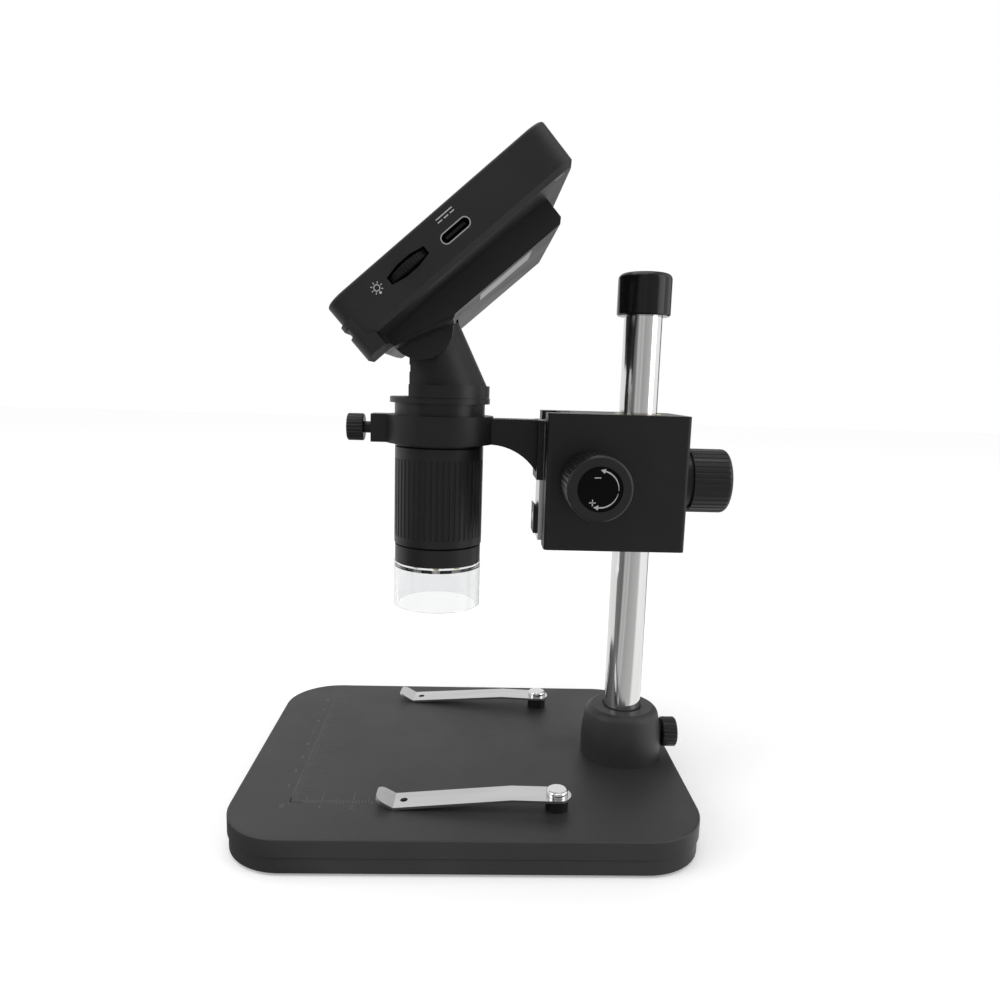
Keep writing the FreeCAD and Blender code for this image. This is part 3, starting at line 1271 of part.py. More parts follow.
def electronics():
    """Main board on its posts, battery in the bulge, sockets, and the button board."""
    board = new_body("main_board", kept=False)
    left = s.display_wall + 1 - s.display_half
    low = s.dimmer_u - s.dimmer_radius
    high = s.bulge_high - s.port_drop
    right = -s.ear_inner - s.display_wall - 1
    box(board, (high - low, right - left, s.mainboard_thick), (low, left, s.board_low), name="Board")
    for u, y in board_points():
        rod(board, s.screw_two + s.thread_fit, s.mainboard_thick, (u, y, s.board_low), cut=True, name="Hole")
    place_in_display(board)
    keys = new_body("button_board", kept=False)
    bottom = bezel_back - s.button_height - s.glass_thick
    radius = s.button_radius
    span = (s.button_count - 1) * s.button_pitch + 2 * radius
    box(keys, (span, 2 * radius, s.glass_thick), (-s.button_low - radius, -s.button_y - radius, bottom),
        name="Board")
    place_in_display(keys)
    group("circuit_boards", [board, keys])
    battery = new_body("battery")
    bay = s.notch_high + 2 * s.display_wall + s.seat_gap
    slab(battery, s.battery_high, s.battery_wide, s.display_floor, s.display_floor - s.bulge_depth,
         s.display_floor - s.bulge_depth + s.battery_thick, (bay + s.battery_high / 2, 0), name="Cell")
    place_in_display(battery)
    usb = new_body("usb_c_socket")
    wall = s.usb_high / 10
    mouth = (s.usb_u, -s.display_half, s.usb_n)
    oval(usb, s.usb_width, s.usb_high, s.usb_depth, mouth, name="Shell")
    oval(usb, s.usb_width - 2 * wall, s.usb_high - 2 * wall, s.usb_depth - wall, mouth, cut=True,
         name="Mouth")
    box(usb, (s.usb_width * 2 / 3, s.usb_depth - wall, s.usb_high / 4),
        (s.usb_u - s.usb_width / 3, wall - s.display_half, s.usb_n - s.usb_high / 8), name="Tongue")
    place_in_display(usb)
    card = new_body("card_socket")
    inside = s.display_wall + s.seat_gap - s.display_low
    rim = 4 * s.seat_gap
    box(card, (s.card_depth, s.card_width + 2 * rim, s.card_low + s.card_high + rim / 2 - shell_inside),
        (inside, -s.card_y - s.card_width / 2 - rim, shell_inside), name="Socket")
    box(card, (s.card_depth, s.card_width, s.card_high - rim / 2),
        (inside - rim, -s.card_y - s.card_width / 2, s.card_low + rim / 4), cut=True, name="Slot")
    place_in_display(card)


def port_block():
    """The small block wrapped round the display's lower corner, with the card slot."""
    body = new_body("port_block")
    low, high = -s.port_drop, s.card_low + 1.5 * s.card_high
    inner, outer = s.display_corner, s.display_corner + s.port_thick
    step = s.display_back + s.display_chamfer
    turned(body, [
        (0, low), (outer, low), (outer, high), (inner, high), (inner, step),
        (inner - s.display_chamfer, s.display_back), (0, s.display_back),
    ], name="Corner")
    tall = high - low
    near = s.port_y + s.port_width / 2 + inner - s.display_half
    box(body, (outer, 2 * outer, tall), (0, -outer, low), cut=True, name="InnerTrim")
    box(body, (outer, outer, tall), (-outer, 0, low), cut=True, name="MiddleTrim")
    box(body, (outer, outer, tall), (-outer, -near - outer, low), cut=True, name="SideTrim")
    far = s.port_reach - outer
    prism(body, [
        (-outer, low), (far, low), (far, s.display_back), (s.display_chamfer - inner, s.display_back),
        (-inner, step), (-inner, high), (-outer, high),
    ], near - s.port_width, 0, "XZ_Plane", name="Straight")
    corner_y = inner - s.display_half
    slot = s.card_width + inner
    box(body, (s.port_thick + inner / 2, slot, s.card_high),
        (-outer, s.card_width / 2 - s.card_y - corner_y - slot, s.card_low), cut=True, name="Slot")
    place(body, in_display(inner - s.display_low, corner_y, 0), angle=display_turn())


def dimmer_wheel():
    body = new_body("dimmer_wheel")
    y = s.dimmer_radius - s.dimmer_proud - s.display_half
    foot = board_top + s.fit - s.dimmer_low
    hub, shoulder = s.dimmer_radius / 3, s.dimmer_radius * 0.6
    edge = s.dimmer_thick / 4
    turned(body, [
        (0, foot), (hub, foot), (hub, 0), (shoulder, 0), (s.dimmer_radius, edge),
        (s.dimmer_radius, s.dimmer_thick - edge), (shoulder, s.dimmer_thick),
        (0, s.dimmer_thick),
    ])
    flutes(body, s.dimmer_radius + s.flute_radius / 2, s.flute_radius, 0, s.dimmer_thick, s.rib_count)
    place(body, in_display(s.dimmer_u, y, s.dimmer_low), angle=display_turn())


def buttons():
    for i, u in enumerate(button_heights(), 1):
        body = new_body(f"button_{i}")
        low = bezel_back - s.button_height + s.button_travel + s.fit
        edge = s.button_proud / 2
        flange = bezel_back - s.fit
        turned(body, [
            (0, low), (s.button_radius + s.button_flange, low), (s.button_radius + s.button_flange, flange),
            (s.button_radius, flange), (s.button_radius, s.display_front + s.button_proud - edge),
            (s.button_radius - edge, s.display_front + s.button_proud, "arc"),
            (0, s.display_front + s.button_proud),
        ])
        place(body, in_display(u, -s.button_y, 0), angle=display_turn())


def build():
    base_bottom_cover()
    base_top_shell()
    base_weight_plate()
    base_feet()
    base_screws()
    column_socket()
    clip_posts()
    clip_rivets()
    stage_clip("front_stage_clip", -s.clip_y, s.front_clip_turn)
    stage_clip("rear_stage_clip", s.clip_y, s.rear_clip_turn)
    small_thumbscrew("socket", s.column_radius, s.thumb_start, s.thumb_length, s.thumb_radius,
                     (s.column_x, 0, s.thumb_z), "X")
    column_tube()
    column_cap()
    block_housing()
    block_bushes()
    clamp_pieces()
    pinion_shaft()
    focus_knobs()
    knob_discs()
    dovetail_slide()
    slide_stop()
    gear_rack()
    slide_screws()
    holder_arm()
    arm_screws()
    small_thumbscrew("ring", s.barrel_radius, s.ring_thumb_start, s.ring_thumb_length,
                     s.ring_thumb_radius, (barrel_center, 0, s.ring_thumb_z), "-X")
    barrel_tube()
    focus_sleeve()
    lower_ring()
    clear_hood()
    light_ring()
    lens_group()
    camera_board()
    neck_shell("neck_front_shell", "front")
    neck_shell("neck_rear_shell", "rear")
    neck_screws()
    hinge_pin()
    display_back_shell()
    display_bezel()
    display_screws()
    screen_stack()
    electronics()
    port_block()
    dimmer_wheel()
    buttons()
    doc.recompute()


def check():
    """Stops before anything is written if a feature failed or a solid is broken."""
    for item in doc.Objects:
        if "Invalid" in item.State or "Error" in item.State:
            raise RuntimeError(f"{item.Label} did not build: {item.State}")
    labels = [item.Label for item in subparts]
    if len(set(labels)) < len(labels):
        raise RuntimeError("two sub-parts share a name")
    for item in subparts:
        if item.Shape.isNull() or not item.Shape.isValid() or not item.Shape.Solids:
            raise RuntimeError(f"{item.Label} has no valid solid")


def export():
    os.makedirs("parts", exist_ok=True)
    for item in subparts:
        item.Shape.exportStep(os.path.join("parts", item.Label + ".step"))


build()
check()
export()
print(len(subparts), "sub-parts written")
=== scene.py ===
"""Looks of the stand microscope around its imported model."""

import math

import bmesh
import bpy
from mathutils import Matrix, Vector


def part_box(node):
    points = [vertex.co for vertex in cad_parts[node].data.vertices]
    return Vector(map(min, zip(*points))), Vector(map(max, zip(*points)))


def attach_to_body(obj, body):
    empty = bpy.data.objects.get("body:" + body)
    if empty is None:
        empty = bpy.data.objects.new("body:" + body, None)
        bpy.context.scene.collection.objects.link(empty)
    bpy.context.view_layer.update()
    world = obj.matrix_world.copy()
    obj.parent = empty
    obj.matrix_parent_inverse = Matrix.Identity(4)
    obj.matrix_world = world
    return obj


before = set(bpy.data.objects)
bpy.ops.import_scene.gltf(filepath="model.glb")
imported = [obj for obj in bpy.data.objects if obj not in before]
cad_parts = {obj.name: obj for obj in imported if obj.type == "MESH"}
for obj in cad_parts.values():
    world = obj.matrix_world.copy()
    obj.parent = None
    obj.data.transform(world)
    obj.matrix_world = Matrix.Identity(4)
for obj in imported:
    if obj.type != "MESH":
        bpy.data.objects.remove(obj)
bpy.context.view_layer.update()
MM = 0.001


# Materials

def tree_of(name):
    mat = bpy.data.materials.new(name)
    mat.use_nodes = True
    mat.node_tree.nodes.clear()
    return mat, mat.node_tree.nodes, mat.node_tree.links


def node(nodes, kind, **inputs):
    made = nodes.new(kind)
    for key, value in inputs.items():
        made.inputs[key.replace("_", " ")].default_value = value
    return made


def ranged(nodes, links, value, source, target=(0.0, 1.0)):
    """The socket with value carried from the source range to the target range."""
    made = nodes.new("ShaderNodeMapRange")
    for key, number in zip(("From Min", "From Max", "To Min", "To Max"), (*source, *target)):
        made.inputs[key].default_value = number
    links.new(value, made.inputs["Value"])
    return made.outputs[0]


PLASTIC_IOR = 1.5
CLOUD_LOW, CLOUD_HIGH = 0.3, 0.7
GRAIN_HEIGHT = 0.2


def surface(name, color, rough, metal=0.0, spread=0.12, patch=60.0, rough_spread=0.05, grain=0.0,
            grain_size=0.25, stretch=(1, 1, 1), spec=0.5):
    """A Principled surface with mottled colour and roughness and a fine grain.

    spread and rough_spread are how far colour and roughness vary, patch is how fine the mottling is, grain is
    the strength of the bump and grain_size its size in mm, and stretch draws the pattern out along an axis.
    """
    mat, nodes, links = tree_of(name)
    out = nodes.new("ShaderNodeOutputMaterial")
    skin = node(nodes, "ShaderNodeBsdfPrincipled", Metallic=metal, IOR=PLASTIC_IOR)
    skin.inputs["Specular IOR Level"].default_value = spec
    links.new(skin.outputs[0], out.inputs[0])
    where = nodes.new("ShaderNodeTexCoord")
    scale = nodes.new("ShaderNodeMapping")
    scale.inputs["Scale"].default_value = stretch
    links.new(where.outputs["Object"], scale.inputs["Vector"])
    cloud = node(nodes, "ShaderNodeTexNoise", Scale=patch, Detail=6.0, Roughness=0.6)
    links.new(scale.outputs[0], cloud.inputs["Vector"])
    ramp = nodes.new("ShaderNodeValToRGB")
    darker, lighter = ramp.color_ramp.elements
    darker.position, lighter.position = CLOUD_LOW, CLOUD_HIGH
    darker.color = [c * (1 - spread) for c in color] + [1]
    lighter.color = [min(1, c * (1 + spread)) for c in color] + [1]
    links.new(cloud.outputs["Fac"], ramp.inputs[0])
    links.new(ramp.outputs[0], skin.inputs["Base Color"])
    low, high = max(0, rough - rough_spread), min(1, rough + rough_spread)
    shade = ranged(nodes, links, cloud.outputs["Fac"], (CLOUD_LOW, CLOUD_HIGH), (low, high))
    links.new(shade, skin.inputs["Roughness"])
    if grain:
        fine = node(nodes, "ShaderNodeTexNoise", Scale=1000 / grain_size, Detail=3.0, Roughness=0.55)
        links.new(scale.outputs[0], fine.inputs["Vector"])
        bump = node(nodes, "ShaderNodeBump", Strength=grain, Distance=grain_size * GRAIN_HEIGHT * MM)
        links.new(fine.outputs["Fac"], bump.inputs["Height"])
        links.new(bump.outputs[0], skin.inputs["Normal"])
    return mat


def clear_surface(name, color, rough, ior=1.49, streak=0.02):
    """Clear plastic or glass with faint streaks in its roughness."""
    mat, nodes, links = tree_of(name)
    out = nodes.new("ShaderNodeOutputMaterial")
    skin = node(nodes, "ShaderNodeBsdfPrincipled", IOR=ior)
    skin.inputs["Base Color"].default_value = list(color) + [1]
    skin.inputs["Transmission Weight"].default_value = 1.0
    links.new(skin.outputs[0], out.inputs[0])
    where = nodes.new("ShaderNodeTexCoord")
    cloud = node(nodes, "ShaderNodeTexNoise", Scale=140.0, Detail=4.0)
    links.new(where.outputs["Object"], cloud.inputs["Vector"])
    shade = ranged(nodes, links, cloud.outputs["Fac"], (0.0, 1.0), (rough, rough + streak))
    links.new(shade, skin.inputs["Roughness"])
    return mat


def rimmed(name, bright, painted_shade_color, edge, fade=0.15 * MM):
    """Metal in its own bright colour at its mouth, at lower y than edge, and painted dark behind it as shade
    falling inside.
    """
    mat = surface(name, painted_shade_color, 0.35, metal=0.9, spread=0.1)
    nodes, links = mat.node_tree.nodes, mat.node_tree.links
    skin = next(item for item in nodes if item.bl_idname == "ShaderNodeBsdfPrincipled")
    mottled = skin.inputs["Base Color"].links[0].from_socket
    where = nodes.new("ShaderNodeTexCoord")
    split = nodes.new("ShaderNodeSeparateXYZ")
    links.new(where.outputs["Object"], split.inputs[0])
    # Painted shade: past the edge the metal's colour turns to the dark shade colour.
    shade_mask = ranged(nodes, links, split.outputs["Y"], (edge, edge + fade))
    mix = nodes.new("ShaderNodeMix")
    mix.data_type = "RGBA"
    outer, inner = [socket for socket in mix.inputs if socket.type == "RGBA"]
    outer.default_value = list(bright) + [1]
    links.new(mottled, inner)
    links.new(shade_mask, mix.inputs["Factor"])
    mixed = next(socket for socket in mix.outputs if socket.type == "RGBA")
    links.new(mixed, skin.inputs["Base Color"])
    return mat


ALONG_COLUMN = (1, 1, 0.06)
ALONG_SLIDE = (1, 1, 0.05)
ALONG_CLIP = (0.1, 1, 1)
SIDE_Y = -60
SURFACES = {
    "base_black": dict(color=(0.025, 0.025, 0.026), rough=0.5, grain=0.35, grain_size=0.22, spread=0.08,
                       spec=0.45),
    "shell_black": dict(color=(0.0145, 0.0145, 0.0155), rough=0.46, grain=0.3, grain_size=0.18, spec=0.32),
    "barrel_black": dict(color=(0.0105, 0.0105, 0.0115), rough=0.36, grain=0.12, grain_size=0.2, spec=0.32),
    "casting_black": dict(color=(0.0115, 0.0115, 0.0125), rough=0.42, grain=0.3, grain_size=0.3, spec=0.28),
    "knob_black": dict(color=(0.011, 0.011, 0.012), rough=0.36, grain=0.15, grain_size=0.2, spec=0.35),
    "wheel_black": dict(color=(0.008, 0.008, 0.009), rough=0.6, grain=0.2, grain_size=0.2, spec=0.2),
    "gloss_black": dict(color=(0.007, 0.007, 0.007), rough=0.14, spread=0.05, rough_spread=0.03, spec=0.3),
    "disc_black": dict(color=(0.0015, 0.0015, 0.0015), rough=0.15, spread=0.05, rough_spread=0.03, spec=0.1),
    "chrome": dict(color=(0.78, 0.775, 0.77), rough=0.1, metal=1.0, spread=0.05, stretch=ALONG_COLUMN,
                   patch=160, grain=0.05, grain_size=0.6),
    "clip_chrome": dict(color=(0.6, 0.6, 0.605), rough=0.2, metal=1.0, spread=0.08, rough_spread=0.08,
                        stretch=ALONG_CLIP, patch=150, grain=0.12, grain_size=0.4),
    "rivet_chrome": dict(color=(0.75, 0.75, 0.76), rough=0.1, metal=1.0, spread=0.04),
    "steel": dict(color=(0.55, 0.55, 0.57), rough=0.28, metal=1.0, spread=0.08, grain=0.1),
    "black_screw": dict(color=(0.02, 0.02, 0.021), rough=0.35, metal=0.6, spread=0.1, grain=0.1),
    "aluminium": dict(color=(0.62, 0.62, 0.64), rough=0.26, metal=1.0, spread=0.06, stretch=ALONG_SLIDE,
                      grain=0.15),
    "brass": dict(color=(0.72, 0.53, 0.22), rough=0.3, metal=1.0, spread=0.1, grain=0.1),
    "nylon": dict(color=(0.75, 0.73, 0.68), rough=0.5, grain=0.1),
    "rubber": dict(color=(0.02, 0.02, 0.02), rough=0.75, grain=0.4, grain_size=0.3),
    "iron": dict(color=(0.16, 0.16, 0.17), rough=0.6, metal=0.6, grain=0.5, grain_size=0.8),
    "circuit": dict(color=(0.008, 0.03, 0.014), rough=0.35, spread=0.2, patch=200),
    "white_board": dict(color=(0.72, 0.72, 0.7), rough=0.4, spread=0.06, patch=200),
    "phosphor": dict(color=(0.82, 0.66, 0.14), rough=0.45, spread=0.08, patch=500),
    "battery": dict(color=(0.32, 0.34, 0.42), rough=0.35, metal=0.3),
    "panel": dict(color=(0.004, 0.0042, 0.005), rough=0.4, spread=0.03, rough_spread=0.01, spec=0.15),
    "print_grey": dict(color=(0.1, 0.1, 0.1), rough=0.6, spread=0.35, patch=400),
    "print_white": dict(color=(0.42, 0.42, 0.43), rough=0.5, spread=0.1, patch=500),
    "label": dict(color=(0.3, 0.3, 0.31), rough=0.35, metal=0.3, spread=0.15, patch=90, stretch=(1, 0.2, 1)),
}
CLEAR_SURFACES = {
    "hood": dict(color=(0.87, 0.875, 0.88), rough=0.03),
    "lens": dict(color=(0.9, 0.96, 0.98), rough=0.0, ior=1.52, streak=0.005),
    "glass": dict(color=(0.96, 0.97, 0.98), rough=0.01, ior=1.5, streak=0.01),
}
LOOKS = {name: surface(name, **values) for name, values in SURFACES.items()}
LOOKS.update({name: clear_surface(name, **values) for name, values in CLEAR_SURFACES.items()})
# The inside of the USB socket is painted dark as shade in the recess, and only its mouth shows the metal's
# own colour.
LOOKS["socket_metal_and_shade"] = rimmed("socket_metal_and_shade", (0.5, 0.5, 0.51), (0.02, 0.02, 0.02), (SIDE_Y + 0.05) * MM)
WEARERS = {
    "base_black": ["base_top_shell", "base_bottom_cover", "column_socket"],
    "shell_black": ["neck_front_shell", "neck_rear_shell", "display_back_shell", "display_bezel",
                    "port_block"],
    "barrel_black": ["barrel_tube", "focus_sleeve", "lower_ring", "lens_cell"],
    "casting_black": ["block_housing", "slide_stop", "holder_arm"],
    "wheel_black": ["dimmer_wheel"],
    "gloss_black": ["column_cap"],
    "disc_black": ["knob_discs"],
    "chrome": ["column_tube"],
    "clip_chrome": ["front_stage_clip", "rear_stage_clip"],
    "rivet_chrome": ["clip_rivets"],
    "steel": ["base_screws", "clamp_stud", "pinion_shaft", "slide_screws", "arm_screws", "focus_pins",
              "hinge_pin", "card_socket"],
    "black_screw": ["neck_screws", "display_screws"],
    "aluminium": ["dovetail_slide"],
    "brass": ["block_bushes", "gear_rack"],
    "nylon": ["socket_screw_tip", "clamp_pad", "ring_screw_tip"],
    "rubber": ["base_feet"],
    "iron": ["base_weight_plate"],
    "circuit": ["camera_board", "circuit_boards"],
    "white_board": ["light_ring"],
    "battery": ["battery"],
    "panel": ["lcd_panel"],
    "hood": ["clear_hood"],
    "lens": ["objective_lens"],
    "glass": ["screen_glass"],
    "socket_metal_and_shade": ["usb_c_socket"],
}
look_of = {wearer: look for look, wearers in WEARERS.items() for wearer in wearers}
for name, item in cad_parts.items():
    # Knobs, thumbscrews, clip posts and buttons are moulded alike.
    look = LOOKS[look_of.get(name, "knob_black")]
    item.data.materials.clear()
    item.data.materials.append(look)


# Mesh helpers

def attach(name, mesh, look, body):
    mesh.materials.append(LOOKS[look])
    item = bpy.data.objects.new(name, mesh)
    bpy.context.scene.collection.objects.link(item)
    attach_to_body(item, body)


class Strokes:
    """Flat closed strokes drawn on a plane: x and y in the plane, z out of it, in mm."""

    def __init__(self, low=-0.03, high=0.03):
        self.verts = []
        self.faces = []
        self.low = low
        self.high = high

    def prism(self, loop):
        first, count = len(self.verts), len(loop)
        for z in (self.low, self.high):
            self.verts += [(x * MM, y * MM, z * MM) for x, y in loop]
        self.faces.append([first + count + i for i in range(count)])
        self.faces.append([first + i for i in reversed(range(count))])
        for i in range(count):
            j = (i + 1) % count
            self.faces.append([first + i, first + j, first + count + j, first + count + i])

    def band(self, inner, outer):
        """A closed ring between two loops of as many points."""
        first, count = len(self.verts), len(inner)
        for z in (self.low, self.high):
            for loop in (inner, outer):
                self.verts += [(x * MM, y * MM, z * MM) for x, y in loop]

        def at(level, ring, i):
            return first + (2 * level + ring) * count + i % count

        for i in range(count):
            self.faces.append([at(1, 0, i), at(1, 1, i), at(1, 1, i + 1), at(1, 0, i + 1)])
            self.faces.append([at(0, 0, i), at(0, 0, i + 1), at(0, 1, i + 1), at(0, 1, i)])
            self.faces.append([at(0, 1, i), at(0, 1, i + 1), at(1, 1, i + 1), at(1, 1, i)])
            self.faces.append([at(0, 0, i), at(1, 0, i), at(1, 0, i + 1), at(0, 0, i + 1)])

    def line(self, a, b, width):
        a, b = Vector(a), Vector(b)
        side = (b - a).normalized()
        side = Vector((-side.y, side.x)) * width / 2
        self.prism([a - side, b - side, b + side, a + side])

    def disc(self, center, radius, count=32):
        self.prism(circle(center, radius, count))

    def ring(self, center, radius, width, count=48):
        self.band(circle(center, radius - width / 2, count), circle(center, radius + width / 2, count))

    def arc(self, center, radius, start, end, width, count=32):
        """An open band that turns counterclockwise from start to end, in degrees."""
        steps = [start + (end - start) * i / count for i in range(count + 1)]
        outer = [polar(center, radius + width / 2, angle) for angle in steps]
        inner = [polar(center, radius - width / 2, angle) for angle in reversed(steps)]
        self.prism(outer + inner)

    def make(self, name, look, body, at):
        mesh = bpy.data.meshes.new(name)
        mesh.from_pydata(self.verts, [], self.faces)
        mesh.transform(at)
        mesh.update()
        attach(name, mesh, look, body)


def polar(center, radius, degrees):
    angle = math.radians(degrees)
    return (center[0] + radius * math.cos(angle), center[1] + radius * math.sin(angle))


def circle(center, radius, count):
    return [polar(center, radius, 360 * i / count) for i in range(count)]


def frame_at(origin, right, up):
    """The matrix that carries drawing coordinates to a face whose x and y run along right and up."""
    right, up = Vector(right).normalized(), Vector(up).normalized()
    out = right.cross(up)
    turned = Matrix((right, up, out)).transposed().to_4x4()
    return Matrix.Translation(Vector(origin)) @ turned


def lettering(name, words, size, look, body, at, half=0.03):
    """Plain numerals as one closed mesh. Each word is (text, x, y) in mm."""
    made = bmesh.new()
    for text, x, y in words:
        curve = bpy.data.curves.new(name, "FONT")
        curve.body = text
        curve.size = size * MM
        curve.align_x = "CENTER"
        curve.align_y = "CENTER"
        curve.extrude = half * MM
        curve.resolution_u = 3
        holder = bpy.data.objects.new(name, curve)
        bpy.context.scene.collection.objects.link(holder)
        bpy.context.view_layer.update()
        drawn = holder.evaluated_get(bpy.context.evaluated_depsgraph_get())
        mesh = bpy.data.meshes.new_from_object(drawn)
        mesh.transform(Matrix.Translation((x * MM, y * MM, 0)))
        made.from_mesh(mesh)
        bpy.data.objects.remove(holder)
        bpy.data.curves.remove(curve)
        bpy.data.meshes.remove(mesh)
    bmesh.ops.remove_doubles(made, verts=made.verts, dist=1e-7)
    mesh = bpy.data.meshes.new(name)
    made.to_mesh(mesh)
    made.free()
    mesh.transform(at)
    attach(name, mesh, look, body)


# Scales printed on the stage

STAGE_TOP = 12.0
RULER_X, RULER_Y = -56.2, -38.2
RULER_DEEP, RULER_WIDE = 80, 50
THIN = 0.2
ACROSS = 0.8
MINOR = 2.2


def mark_length(step, major, middle):
    """A long mark at each whole centimetre but the first, a middle one at each half, short ones between."""
    if step % 10 == 0 and step:
        return major
    return middle if step % 5 == 0 else MINOR


stage_face = frame_at((0, 0, STAGE_TOP * MM), (1, 0, 0), (0, 1, 0))
ruler = Strokes()
ruler.line((RULER_X, RULER_Y), (RULER_X, RULER_Y + RULER_DEEP), THIN)
ruler.line((RULER_X, RULER_Y), (RULER_X + RULER_WIDE, RULER_Y), THIN)
for step in range(RULER_DEEP + 1):
    reach = mark_length(step, 9.0, 4.0)
    ruler.line((RULER_X, RULER_Y + step), (RULER_X + reach, RULER_Y + step), THIN)
for step in range(RULER_WIDE + 1):
    reach = mark_length(step, 7.0, 3.6)
    ruler.line((RULER_X + step, RULER_Y - ACROSS), (RULER_X + step, RULER_Y + reach - ACROSS), THIN)
ruler.make("stage_scale", "print_grey", "base", stage_face)
numbers = [(str(i), RULER_X - 2.6, RULER_Y + 10 * i) for i in range(1, RULER_DEEP // 10 + 1)]
numbers += [(str(i), RULER_X + 10 * i, RULER_Y - 2.8) for i in range(1, RULER_WIDE // 10 + 1)]
numbers.append(("0", RULER_X - 2.0, RULER_Y - 2.4))
lettering("stage_numbers", numbers, 3.0, "print_grey", "base", stage_face)


# Symbols on the near side of the display

TILT = math.radians(41.3)
UP = Vector((math.cos(TILT), 0, math.sin(TILT)))
OUT = Vector((-math.sin(TILT), 0, math.cos(TILT)))
HINGE = Vector((-17.9, 0, 162.9)) * MM


def display_at(u, y, n):
    """The world point of a point in the display: u up along it, y across, n out of the screen, in mm."""
    return HINGE + (UP * u + OUT * n) * MM + Vector((0, y * MM, 0))


side_face = frame_at(display_at(0, SIDE_Y, 0), UP, OUT)
lamp = Strokes()
LAMP = (-2.2, 10.6)
lamp.ring(LAMP, 0.8, 0.24)
for step in range(8):
    angle = 45 * step
    if angle == 270:
        lamp.disc(polar(LAMP, 1.5, angle), 0.36)
    else:
        lamp.line(polar(LAMP, 1.15, angle), polar(LAMP, 1.7, angle), 0.22)
lamp.make("lamp_symbol", "print_white", "display", side_face)
supply = Strokes()
SUPPLY_U, SUPPLY_HIGH, SUPPLY_LOW, SUPPLY_WIDTH = 20.6, 13.7, 12.8, 0.28
supply.line((SUPPLY_U, SUPPLY_HIGH), (SUPPLY_U + 5.4, SUPPLY_HIGH), SUPPLY_WIDTH)
for step in range(3):
    dash = SUPPLY_U + 2.0 * step
    supply.line((dash, SUPPLY_LOW), (dash + 1.4, SUPPLY_LOW), SUPPLY_WIDTH)
supply.make("supply_symbol", "print_white", "display", side_face)


# Plain icons on the six front buttons, and the black frame around the screen's window

KEY_FACE = 16.4
KEY_Y = -53.5
KEY_LOW, KEY_PITCH, KEY_COUNT = -6.0, 10.6, 6
ICON_LINE = 0.24


def key_icon(number):
    """Power, picture, up, down, list and ring, from the first button to the last."""
    icon = Strokes(low=-0.02)
    if number == 1:
        icon.arc((0, 0), 1.1, -50, 230, ICON_LINE)
        icon.line((0, 0.4), (0, 1.45), ICON_LINE)
    elif number == 2:
        icon.ring((0, 0), 1.1, ICON_LINE)
        icon.disc((0, 0), 0.5)
    elif number == 3:
        icon.prism([(-1.1, -0.7), (1.1, -0.7), (0, 1.1)])
    elif number == 4:
        icon.prism([(0, -1.1), (1.1, 0.7), (-1.1, 0.7)])
    elif number == 5:
        for row in (-0.8, 0, 0.8):
            icon.line((-1.1, row), (1.1, row), 0.26)
    else:
        icon.ring((0, 0), 0.9, 0.3)
    face = frame_at(display_at(KEY_LOW + KEY_PITCH * (number - 1), KEY_Y, KEY_FACE), (0, 1, 0), -UP)
    icon.make(f"key_icon_{number}", "print_white", f"key_{number}", face)


for number in range(1, KEY_COUNT + 1):
    key_icon(number)


def rectangle(high, wide, corner, count=6):
    """A rounded rectangle about the origin, high along x and wide along y."""
    loop = []
    for quarter, (x, y) in enumerate(((1, 1), (-1, 1), (-1, -1), (1, -1))):
        center = (x * (high / 2 - corner), y * (wide / 2 - corner))
        loop += [polar(center, corner, 90 * quarter + 90 * i / (count - 1)) for i in range(count)]
    return loop


SCREEN_U, SCREEN_Y, GLASS_BACK = 20.4, 4.0, 15.1
window_face = frame_at(display_at(SCREEN_U, SCREEN_Y, GLASS_BACK), UP, (0, 1, 0))
mask = Strokes(low=-0.08, high=-0.03)
mask.band(rectangle(51.5, 92.5, 0.5), rectangle(53.8, 94.8, 0.5))
mask.make("screen_frame", "gloss_black", "display", window_face)


# Light emitters on the ring of lamps around the lens

LED_COUNT, LED_RING, EMITTER = 8, 9.5, 0.9
board_low, board_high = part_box("light_ring")
under_board = ((board_low[0] + board_high[0]) / 2, 0, board_low[2])
emitters = Strokes(low=-0.05, high=0.35)
for step in range(LED_COUNT):
    emitters.disc(polar((0, 0), LED_RING, 360 / LED_COUNT * step), EMITTER, 24)
emitters.make("lamp_emitters", "phosphor", "camera", frame_at(under_board, (1, 0, 0), (0, -1, 0)))


# Arrow and signs on the front knob's disc

disc_low, disc_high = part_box("knob_discs")
disc_middle = ((disc_low[0] + disc_high[0]) / 2, disc_low[1], (disc_low[2] + disc_high[2]) / 2)
disc_face = frame_at(disc_middle, (1, 0, 0), (0, 0, 1))
arrow = Strokes(high=0.05)
ARROW_RADIUS = 5.7
HEAD_LONG, HEAD_HALF = 1.5, 0.8
SIGN_WIDTH = 0.3


def tapered_arc(start, end, thin=0.12, thick=0.42, count=24):
    """An arc that widens from thin at its start to thick, and stays so to its end."""
    inner, outer = [], []
    for i in range(count + 1):
        part = i / count
        half = (thin + (thick - thin) * math.sin(math.pi * min(1, part * 1.3) / 2)) / 2
        inner.append(polar((0, 0), ARROW_RADIUS - half, start + (end - start) * part))
        outer.append(polar((0, 0), ARROW_RADIUS + half, start + (end - start) * part))
    loop = outer + inner[::-1]
    arrow.prism(loop if end > start else loop[::-1])


for start, end, turn in ((-4, 76, 1), (-12, -94, -1)):
    tapered_arc(start, end)
    root = polar((0, 0), ARROW_RADIUS, end)
    tip = polar(root, HEAD_LONG, end + turn * 90)
    loop = [tip, polar(root, HEAD_HALF, end + 180), polar(root, HEAD_HALF, end)]
    arrow.prism(loop[::turn])
arrow.line((-1.9, 3.5), (0.1, 3.5), SIGN_WIDTH)
arrow.line((-3.2, -4.2), (-1.2, -4.2), SIGN_WIDTH)
arrow.line((-2.2, -5.2), (-2.2, -3.2), SIGN_WIDTH)
arrow.make("knob_arrow", "print_white", "focus_shaft", disc_face)


# Blank label on the back of the display

